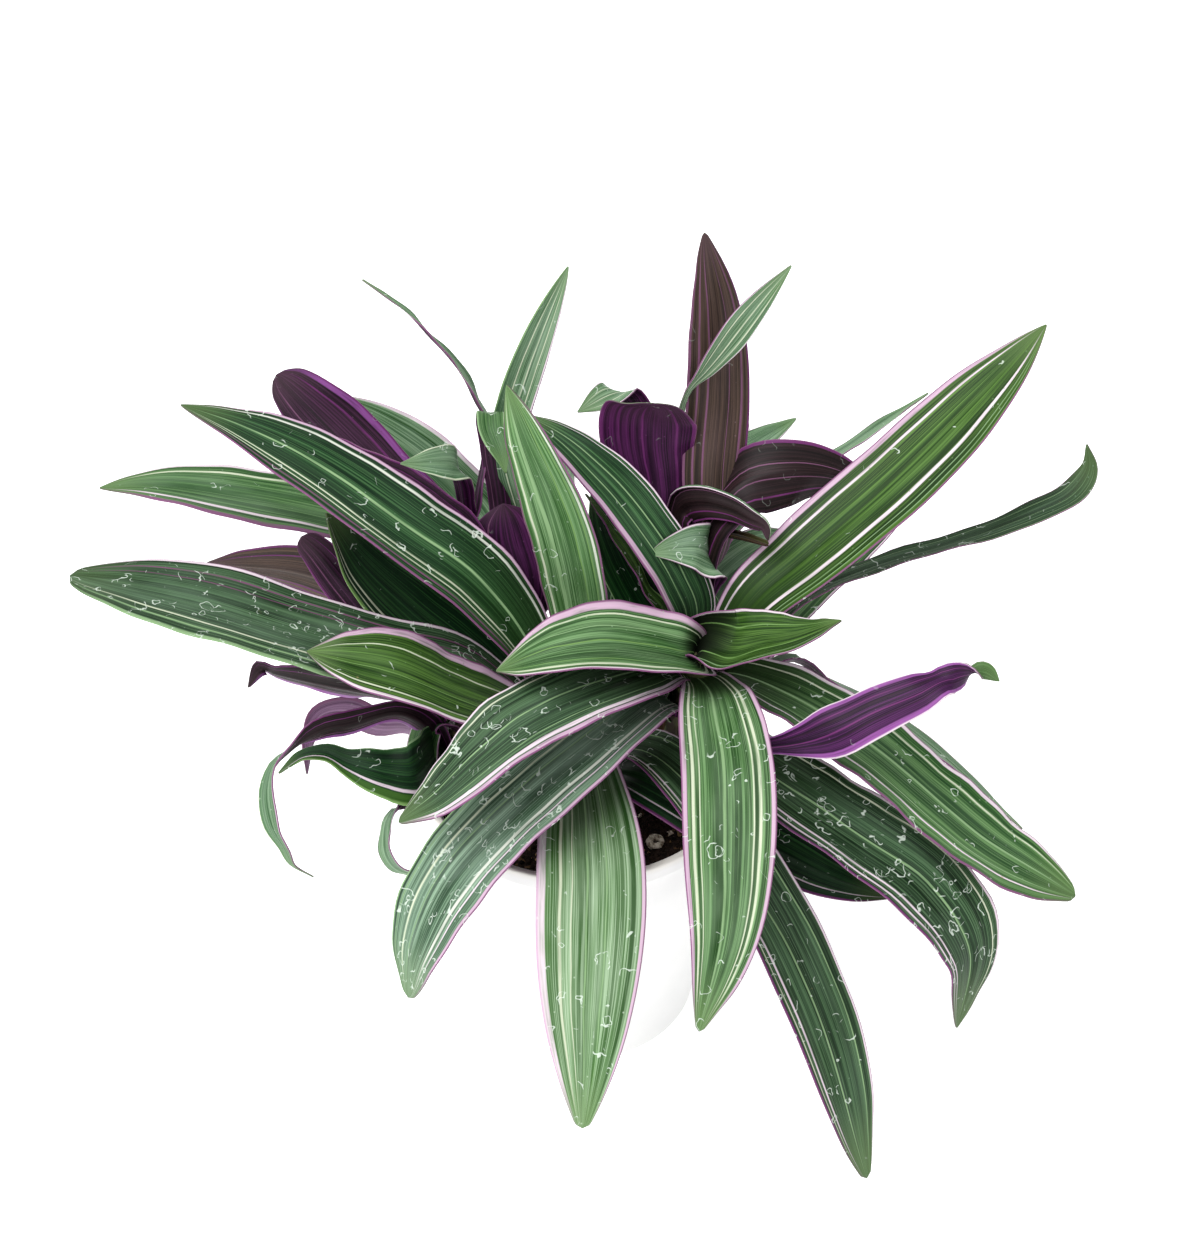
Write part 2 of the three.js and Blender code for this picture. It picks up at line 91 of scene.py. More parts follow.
def plus(tree, first, second):
    return calc(tree, "ADD", first, second)


def minus(tree, first, second):
    return calc(tree, "SUBTRACT", first, second)


def vectorCalc(tree, operation, inputs):
    return addNode(tree, "ShaderNodeVectorMath", inputs, operation=operation).outputs[0]


def joined(tree, x, y, z=0.0):
    return addNode(tree, "ShaderNodeCombineXYZ", {0: x, 1: y, 2: z}).outputs[0]


def partsOf(tree, vector):
    return addNode(tree, "ShaderNodeSeparateXYZ", {0: vector}).outputs


def mixColour(tree, factor, first, second):
    inputs = {0: factor, 6: first, 7: second}
    return addNode(tree, "ShaderNodeMix", inputs, data_type="RGBA", clamp_factor=True).outputs[2]


def rangeOf(tree, value, low, high, outLow=0.0, outHigh=1.0, kind="LINEAR"):
    inputs = {0: value, 1: low, 2: high, 3: outLow, 4: outHigh}
    return addNode(tree, "ShaderNodeMapRange", inputs, clamp=True, interpolation_type=kind).outputs[0]


def noiseOf(tree, vector, scale, detail=2.0, roughness=0.5, distortion=0.0, output=0):
    return addNode(tree, "ShaderNodeTexNoise", {
        "Vector": vector, "Scale": scale, "Detail": detail, "Roughness": roughness, "Distortion": distortion,
    }).outputs[output]


def cellsOf(tree, vector, scale):
    # The distance to the middle of each cell, and the numbers picked for the cell.
    cells = addNode(tree, "ShaderNodeTexVoronoi", {"Vector": vector, "Scale": scale}).outputs
    return cells["Distance"], addNode(tree, "ShaderNodeSeparateColor", {0: cells["Color"]}).outputs


def newGroup(name, inputs, outputs):
    # An input is a number with its default, or a vector where that is None. Every output is a number.
    tree = bpy.data.node_groups.new(name, "ShaderNodeTree")
    for label, default in inputs.items():
        kind = "NodeSocketVector" if default is None else "NodeSocketFloat"
        socket = tree.interface.new_socket(name=label, in_out="INPUT", socket_type=kind)
        if default is not None:
            socket.default_value = default
    for label in outputs:
        tree.interface.new_socket(name=label, in_out="OUTPUT", socket_type="NodeSocketFloat")
    return tree, tree.nodes.new("NodeGroupInput").outputs, tree.nodes.new("NodeGroupOutput").inputs


def useGroup(tree, group, **inputs):
    return addNode(tree, "ShaderNodeGroup", inputs, node_tree=group).outputs


def startMaterial(name):
    material = bpy.data.materials.new(name)
    material.use_nodes = True
    tree = material.node_tree
    tree.nodes.clear()
    shader = tree.nodes.new("ShaderNodeBsdfPrincipled")
    output = tree.nodes.new("ShaderNodeOutputMaterial")
    tree.links.new(shader.outputs[0], output.inputs["Surface"])
    place = addNode(tree, "ShaderNodeTexCoord").outputs["Object"]
    return material, tree, shader, place


def bumpOf(tree, strength, depth, height):
    inputs = {"Strength": strength, "Distance": depth, "Height": height}
    return addNode(tree, "ShaderNodeBump", inputs).outputs[0]


# Camera

cameraSet = {
    "place": (0.007, -0.766, 0.8258),  # metres
    "tilt": 50.0,
    "lens": 82.25,
    "filmWidth": 36,
    "nearest": 0.01,  # metres
    "farthest": 20,  # metres
}


def setCamera():
    data = bpy.data.cameras.new("camera")
    data.lens = cameraSet["lens"]
    data.sensor_width = cameraSet["filmWidth"]
    data.clip_start = cameraSet["nearest"]
    data.clip_end = cameraSet["farthest"]
    camera = bpy.data.objects.new("camera", data)
    camera.location = cameraSet["place"]
    camera.rotation_euler = (math.radians(cameraSet["tilt"]), 0, 0)
    scene.collection.objects.link(camera)
    scene.camera = camera


setCamera()
print("camera set")

# Shader groups shared by the leaf materials

def makeVeinGroup():
    tree, given, result = newGroup(
        "leafVeins", {"Along": 0, "Across": 0, "Seed": 0, "Fineness": 17},
        ("Fine", "Hair", "Broad", "Patch", "Height"))
    seedFar = times(tree, given["Seed"], 7.31)

    def streaks(count, stretch, detail, lift, roughness=0.55):
        across = times(tree, given["Across"], count)
        along = times(tree, given["Along"], stretch)
        spot = joined(tree, across, along, plus(tree, seedFar, lift))
        return noiseOf(tree, spot, 1.0, detail, roughness)

    fine = streaks(times(tree, given["Fineness"], 0.5), 0.9, 4.0, 0.0, 0.68)
    hair = streaks(times(tree, given["Fineness"], 2.6), 2.2, 1.0, 13.0)
    broad = streaks(3.6, 1.2, 2.0, 31.0)
    patch = streaks(1.6, 4.5, 3.0, 57.0)
    tree.links.new(rangeOf(tree, fine, 0.33, 0.67), result["Fine"])
    tree.links.new(rangeOf(tree, hair, 0.38, 0.62), result["Hair"])
    tree.links.new(rangeOf(tree, broad, 0.36, 0.64), result["Broad"])
    tree.links.new(rangeOf(tree, patch, 0.35, 0.7), result["Patch"])
    tree.links.new(plus(tree, fine, times(tree, broad, 0.7)), result["Height"])
    return tree


def makeDropGroup():
    # Dried water marks: bent loops, each with most of its ring missing, and a few long curls.
    tree, given, result = newGroup("driedDrops", {"Place": None, "Amount": 0.5}, ("Mask",))
    place, amount = given["Place"], given["Amount"]
    bent = noiseOf(tree, place, 300.0, 1.0, output=1)
    bent = vectorCalc(tree, "SUBTRACT", {0: bent, 1: (0.5, 0.5, 0.5)})
    bent = vectorCalc(tree, "SCALE", {0: bent, "Scale": 0.0042})
    spot = vectorCalc(tree, "ADD", {0: place, 1: bent})
    breaks = noiseOf(tree, place, 190.0, 1.0)
    rings = []
    for scale, thin, share in ((105.0, 0.011, 0.85), (190.0, 0.017, 0.7)):
        distance, pick = cellsOf(tree, spot, scale)
        radius = rangeOf(tree, pick[1], 0.0, 1.0, 0.16, 0.44)
        away = calc(tree, "ABSOLUTE", minus(tree, distance, radius))
        ring = rangeOf(tree, away, thin, thin * 2.2, 1.0, 0.0)
        gate = minus(tree, 1.0, times(tree, amount, share))
        ring = times(tree, ring, calc(tree, "GREATER_THAN", pick[0], gate))
        rings.append(times(tree, ring, rangeOf(tree, breaks, 0.5, 0.56)))
    winding = noiseOf(tree, place, 120.0, 1.5, 0.5, 0.8)
    contour = calc(tree, "ABSOLUTE", minus(tree, winding, 0.5))
    curl = rangeOf(tree, contour, 0.003, 0.009, 0.9, 0.0)
    wide = noiseOf(tree, place, 170.0, 1.0)
    low = minus(tree, 0.72, times(tree, amount, 0.13))
    curl = times(tree, curl, rangeOf(tree, wide, low, plus(tree, low, 0.04)))
    tree.links.new(calc(tree, "MAXIMUM", curl, calc(tree, "MAXIMUM", *rings)), result["Mask"])
    return tree


def makeScarGroup():
    # Small tan scars and pale freckles.
    tree, given, result = newGroup("leafScars", {"Place": None, "Amount": 0.5}, ("Scar", "Freckle"))
    rough = noiseOf(tree, given["Place"], 95.0, 3.0, 0.6)
    start = minus(tree, 0.78, times(tree, given["Amount"], 0.08))
    tree.links.new(rangeOf(tree, rough, start, plus(tree, start, 0.03)), result["Scar"])
    distance, pick = cellsOf(tree, given["Place"], 420.0)
    dot = rangeOf(tree, distance, 0.1, 0.17, 1.0, 0.0)
    tree.links.new(times(tree, dot, calc(tree, "GREATER_THAN", pick[1], 0.9)), result["Freckle"])
    return tree


veinGroup = makeVeinGroup()
dropGroup = makeDropGroup()
scarGroup = makeScarGroup()

# Leaf finishes

# Screen colours. Upper faces: the deepest streaks, the middle green, the palest streaks and the pale haze of
# painted sheen.
greens = {
    "young": ((34, 72, 26), (72, 116, 60), (138, 174, 124), (150, 174, 146)),
    "leafy": ((18, 52, 12), (52, 92, 42), (124, 162, 110), (138, 166, 132)),
    "light": ((42, 82, 28), (84, 124, 70), (176, 202, 168), (182, 202, 176)),
    "fresh": ((10, 36, 2), (36, 70, 14), (94, 132, 58), (108, 138, 92)),
    "mid": ((16, 52, 18), (48, 88, 40), (110, 148, 94), (120, 148, 116)),
    "old": ((6, 24, 8), (30, 58, 30), (96, 130, 92), (108, 136, 110)),
    "worn": ((26, 50, 32), (74, 104, 78), (152, 182, 154), (158, 184, 164)),
    "deep": ((2, 28, 10), (18, 58, 26), (78, 120, 74), (92, 126, 94)),
    # dark: for leaves low and deep among the others, partly their own darker green and partly painted shade.
    "dark": ((2, 24, 8), (10, 48, 20), (48, 92, 46), (70, 100, 76)),
    "far": ((46, 82, 48), (88, 122, 86), (148, 176, 142), (156, 178, 158)),
    "dry": ((42, 30, 16), (84, 64, 38), (136, 112, 74), (120, 100, 72)),
}
# Lower faces, in the same order.
plums = {
    "plum": ((16, 6, 14), (38, 18, 34), (80, 42, 74), (88, 58, 84)),
    "olive": ((30, 22, 18), (60, 48, 38), (96, 76, 64), (112, 88, 94)),
    "dusk": ((8, 4, 4), (24, 15, 14), (52, 34, 38), (66, 46, 56)),
    "violet": ((22, 4, 22), (46, 12, 44), (94, 36, 92), (100, 56, 100)),
    "bright": ((20, 4, 24), (44, 14, 48), (100, 44, 106), (104, 64, 110)),
    "soft": ((84, 56, 82), (118, 86, 116), (158, 122, 156), (150, 124, 150)),
    "dry": ((36, 24, 12), (70, 52, 30), (120, 96, 62), (110, 90, 66)),
}
# Lines and margins.
lineTones = {
    "edge": (128, 78, 118), "lilac": (200, 168, 192), "blush": (224, 208, 218), "cream": (202, 210, 184),
    "white": (216, 220, 208), "lime": (112, 148, 84), "pale": (136, 168, 122), "moss": (30, 66, 20),
    "magenta": (104, 44, 100), "rose": (118, 76, 106), "plum": (40, 18, 36), "grass": (58, 96, 34),
    "orchid": (140, 78, 148),
}

# What the leaves have in common, on the upper and on the lower face.
finishSet = {
    # base: the colour at the blade's foot, partly the leaf's own darker green and partly painted shade where
    # the leaves crowd at the crown.
    "upper": {"base": tint(26, 52, 10), "tip": tint(112, 138, 82), "paintedSheen": 1.0, "dried": 0.66},
    "lower": {"base": tint(34, 16, 30), "tip": tint(84, 62, 72), "paintedSheen": 0.5, "dried": 0.12},
    # heart: painted shade, near black, for the funnel where the youngest leaves meet the crown.
    "heart": tint(10, 16, 6),
    "scar": tint(146, 130, 88),
    "dried": tint(220, 232, 220),
    "lowerDrops": 0.1,
    "tipStart": 0.84,
    "lineSoft": 0.02,
    "lineWander": 0.16,
    "rough": 0.4,
    "bump": 0.35,
    "bumpDepth": 0.0006,  # metres
    "shine": 0.16,
}


def fillRamp(ramp, lines, margins):
    # Each line is its place across the blade (-1 to 1), its width and its tone; alpha says where one lies.
    stops = []
    for side, (width, outer, inner) in zip((-1, 1), margins):
        marks = ((0.0, outer, 1), (0.14, outer, 1), (0.3, inner, 1), (0.86, inner, 1), (1.0, inner, 0))
        stops += [(side * (1 - share * width), tone, solid) for share, tone, solid in marks]
    for place, width, tone in lines:
        width *= 0.75
        soft = min(0.5 * width, finishSet["lineSoft"])
        marks = ((-width / 2 - soft, 0), (-width / 2, 1), (width / 2, 1), (width / 2 + soft, 0))
        stops += [(place + shift, tone, solid) for shift, solid in marks]
    stops.sort(key=lambda stop: stop[0])
    ramp.elements.remove(ramp.elements[-1])
    for count, (place, tone, solid) in enumerate(stops):
        element = ramp.elements[0] if count == 0 else ramp.elements.new((place + 1) / 2)
        element.position = (place + 1) / 2
        element.color = tint(*lineTones[tone])[:3] + (solid,)


def leafMaterial(name, leaf, upper):
    material, tree, shader, place = startMaterial(name)
    tones = [tint(*row) for row in (greens[leaf["look"]] if upper else plums[leaf["under"]])]
    lines = leaf["lines"] if upper else leaf["underLines"]
    margins = leaf["margins"] if upper else leaf["underMargins"]
    side = finishSet["upper" if upper else "lower"]
    seed = leaf["seed"] + (0 if upper else 0.5)
    parts = partsOf(tree, addNode(tree, "ShaderNodeUVMap", uv_map="blade").outputs[0])
    along = parts[0]
    across = rangeOf(tree, parts[1], 0.0, 1.0, -1.0, 1.0)
    veins = useGroup(tree, veinGroup, Along=along, Across=across, Seed=seed, Fineness=leaf["streaks"])

    # the base greens, streaked
    colour = mixColour(tree, rangeOf(tree, veins["Broad"], 0.0, 1.0, 0.12, 1.0), tones[0], tones[1])
    pale = times(tree, rangeOf(tree, veins["Fine"], 0.5, 0.9), leaf["streakLight"])
    colour = mixColour(tree, pale, colour, tones[2])
    deep = times(tree, rangeOf(tree, veins["Fine"], 0.5, 0.1), leaf["streakDark"])
    colour = mixColour(tree, deep, colour, tones[0])
    colour = mixColour(tree, rangeOf(tree, veins["Hair"], 0.6, 1.0, 0.0, 0.45), colour, tones[2])
    colour = mixColour(tree, rangeOf(tree, veins["Hair"], 0.4, 0.0, 0.0, 0.45), colour, tones[0])
    inner = minus(tree, 1.0, times(tree, across, across))
    # Painted sheen: a pale grey-green haze mixed in patches over the middle of the blade, standing in for the
    # soft reflection of the sky.
    paintedSheen = times(tree, inner, leaf["paintedSheen"] * side["paintedSheen"])
    paintedSheen = times(tree, veins["Patch"], paintedSheen)
    colour = mixColour(tree, paintedSheen, colour, tones[3])
    # Towards the crown the blade darkens to the base colour: partly its own darker foot, partly painted
    # shade.
    atBase = rangeOf(tree, along, leaf["baseEnd"], 0.02, 0.0, leaf["baseTintAndShade"], kind="SMOOTHSTEP")
    colour = mixColour(tree, atBase, colour, side["base"])
    if leaf["heart"]:
        # Painted shade: towards the crown the blade turns near black, as the funnel between the leaves is
        # dark.
        heartShade = rangeOf(tree, along, leaf["heart"], leaf["heart"] * 0.25, 0.0, 0.96, kind="SMOOTHSTEP")
        colour = mixColour(tree, heartShade, colour, finishSet["heart"])
    atTip = rangeOf(tree, along, finishSet["tipStart"], 1.0, 0.0, leaf["tipTint"], kind="SMOOTHSTEP")
    colour = mixColour(tree, atTip, colour, side["tip"])

    # pale lines and margins
    wander = noiseOf(tree, joined(tree, times(tree, along, 5.0), seed * 3.7), 1.0, 1.0)
    wander = times(tree, minus(tree, wander, 0.5), times(tree, inner, finishSet["lineWander"]))
    spot = rangeOf(tree, plus(tree, across, wander), -1.0, 1.0)
    ramp = addNode(tree, "ShaderNodeValToRGB", {0: spot})
    fillRamp(ramp.color_ramp, lines, margins)
    broken = joined(tree, times(tree, along, 9.0), times(tree, across, 14.0), seed * 5.1)
    broken = rangeOf(tree, noiseOf(tree, broken, 1.0, 2.0), 0.28, 0.5, 0.5, 1.0)
    nearEdge = rangeOf(tree, calc(tree, "ABSOLUTE", across), 0.86, 0.95)
    broken = calc(tree, "MAXIMUM", broken, nearEdge)
    fade = rangeOf(tree, along, 0.86, 1.0, 1.0, 0.25, kind="SMOOTHSTEP")
    strength = times(tree, times(tree, broken, fade), ramp.outputs["Alpha"])
    lined = mixColour(tree, veins["Fine"], tones[1], ramp.outputs["Color"])
    lined = mixColour(tree, 0.18, ramp.outputs["Color"], lined)
    colour = mixColour(tree, strength, colour, lined)

    # scars and dried drops
    scars = useGroup(tree, scarGroup, Place=place, Amount=leaf["scars"])
    colour = mixColour(tree, times(tree, scars["Scar"], 0.7), colour, finishSet["scar"])
    colour = mixColour(tree, times(tree, scars["Freckle"], 0.5), colour, tones[3])
    amount = leaf["drops"] if upper else finishSet["lowerDrops"]
    drops = useGroup(tree, dropGroup, Place=place, Amount=amount)["Mask"]
    colour = mixColour(tree, times(tree, drops, side["dried"]), colour, finishSet["dried"])

    rough = plus(tree, times(tree, veins["Patch"], 0.14), finishSet["rough"])
    rough = plus(tree, rough, times(tree, drops, 0.25))
    if leaf["heart"]:
        rough = calc(tree, "ADD", rough, times(tree, heartShade, 0.5), clamp=True)
    height = plus(tree, veins["Height"], times(tree, drops, 0.4))
    height = minus(tree, height, times(tree, scars["Scar"], 0.4))
    feed(tree, shader, {
        "Base Color": colour, "Roughness": rough, "Specular IOR Level": finishSet["shine"],
        "Normal": bumpOf(tree, finishSet["bump"], finishSet["bumpDepth"], height),
    })
    return material


# Crowns and leaves

# Where each crown's stem stands in the soil, and its heart, which the stem's axis runs to.
crowns = {
    "a": {"foot": (30, -2, 100), "heart": (44, -2, 176), "bud": False, "top": 167},
    "b": {"foot": (-4, -4, 100), "heart": (-2, -4, 146), "bud": True},
    "c": {"foot": (24, 26, 100), "heart": (40, 38, 183), "bud": False},
    "d": {"foot": (-22, 30, 100), "heart": (-30, 42, 186), "bud": False},
    "e": {"foot": (-36, 6, 100), "heart": (-43, 8, 126), "bud": True},
}

bladeSet = {
    "steps": 60,
    "columns": (-1, -0.985, -0.95, -0.88, -0.78, -0.64, -0.48, -0.32, -0.16, -0.05, 0,
                0.05, 0.16, 0.32, 0.48, 0.64, 0.78, 0.88, 0.95, 0.985, 1),
    "cuts": 4,  # steps between two columns, along the section's curve
    "thick": 1.5,  # on the midrib at the base
    "thin": 0.55,  # at the margins
    "rimInset": 0.16,
    "leastHalf": 0.15,
    "sheathWidth": 12,
    "sheathFold": 42,
    "sheathHeight": 6,
    "sheathOpen": 2,
    "reach": 8.0,
    "grownReach": 5.0,
    "widestAt": 0.45,
    "keel": 0.35,  # depth of the crease along the midrib
    "keelWidth": 0.9,
    "ridge": 0.25,  # height of the low ridges beside it
    "ridgeTurn": 9.4,  # radians from the midrib to a margin
    "cycle": 6.28,  # one wave of the margin, in radians
    "crowding": 0.55,  # of the rows, at both ends
    "foldFade": 0.1,  # this and the following are shares of the blade's length or half width
    "turnIn": 0.12,
    "rollIn": 0.25,
    "twistStart": 0.35,
    "twistLength": 0.4,
    "curlFrom": 0.15,
    "curlOver": 0.2,
    "curlStart": 0.55,
    "waveIn": 0.2,
    "waveOut": 0.12,
}

# What a leaf has where its row says nothing else.
plain = {
    "grown": False, "blunt": 2.8, "tip": 0.25, "spans": (), "fold": 18, "folds": (), "curl": (0, 0),
    "roll": (0, 0), "turns": (), "wave": 0.5, "reach": None, "look": "far", "under": "plum",
    "paintedSheen": 0.35, "streaks": 17, "streakLight": 0.65, "streakDark": 0.6, "baseTintAndShade": 0.7, "baseEnd": 0.3,
    "heart": 0, "tipTint": 0.34, "scars": 0.3, "drops": 0.3, "lines": (),
    "margins": ((0.07, "edge", "blush"), (0.07, "edge", "blush")),
    "underLines": ((-0.55, 0.05, "magenta"), (0.5, 0.04, "rose")),
    "underMargins": ((0.1, "edge", "magenta"), (0.1, "edge", "magenta")),
}

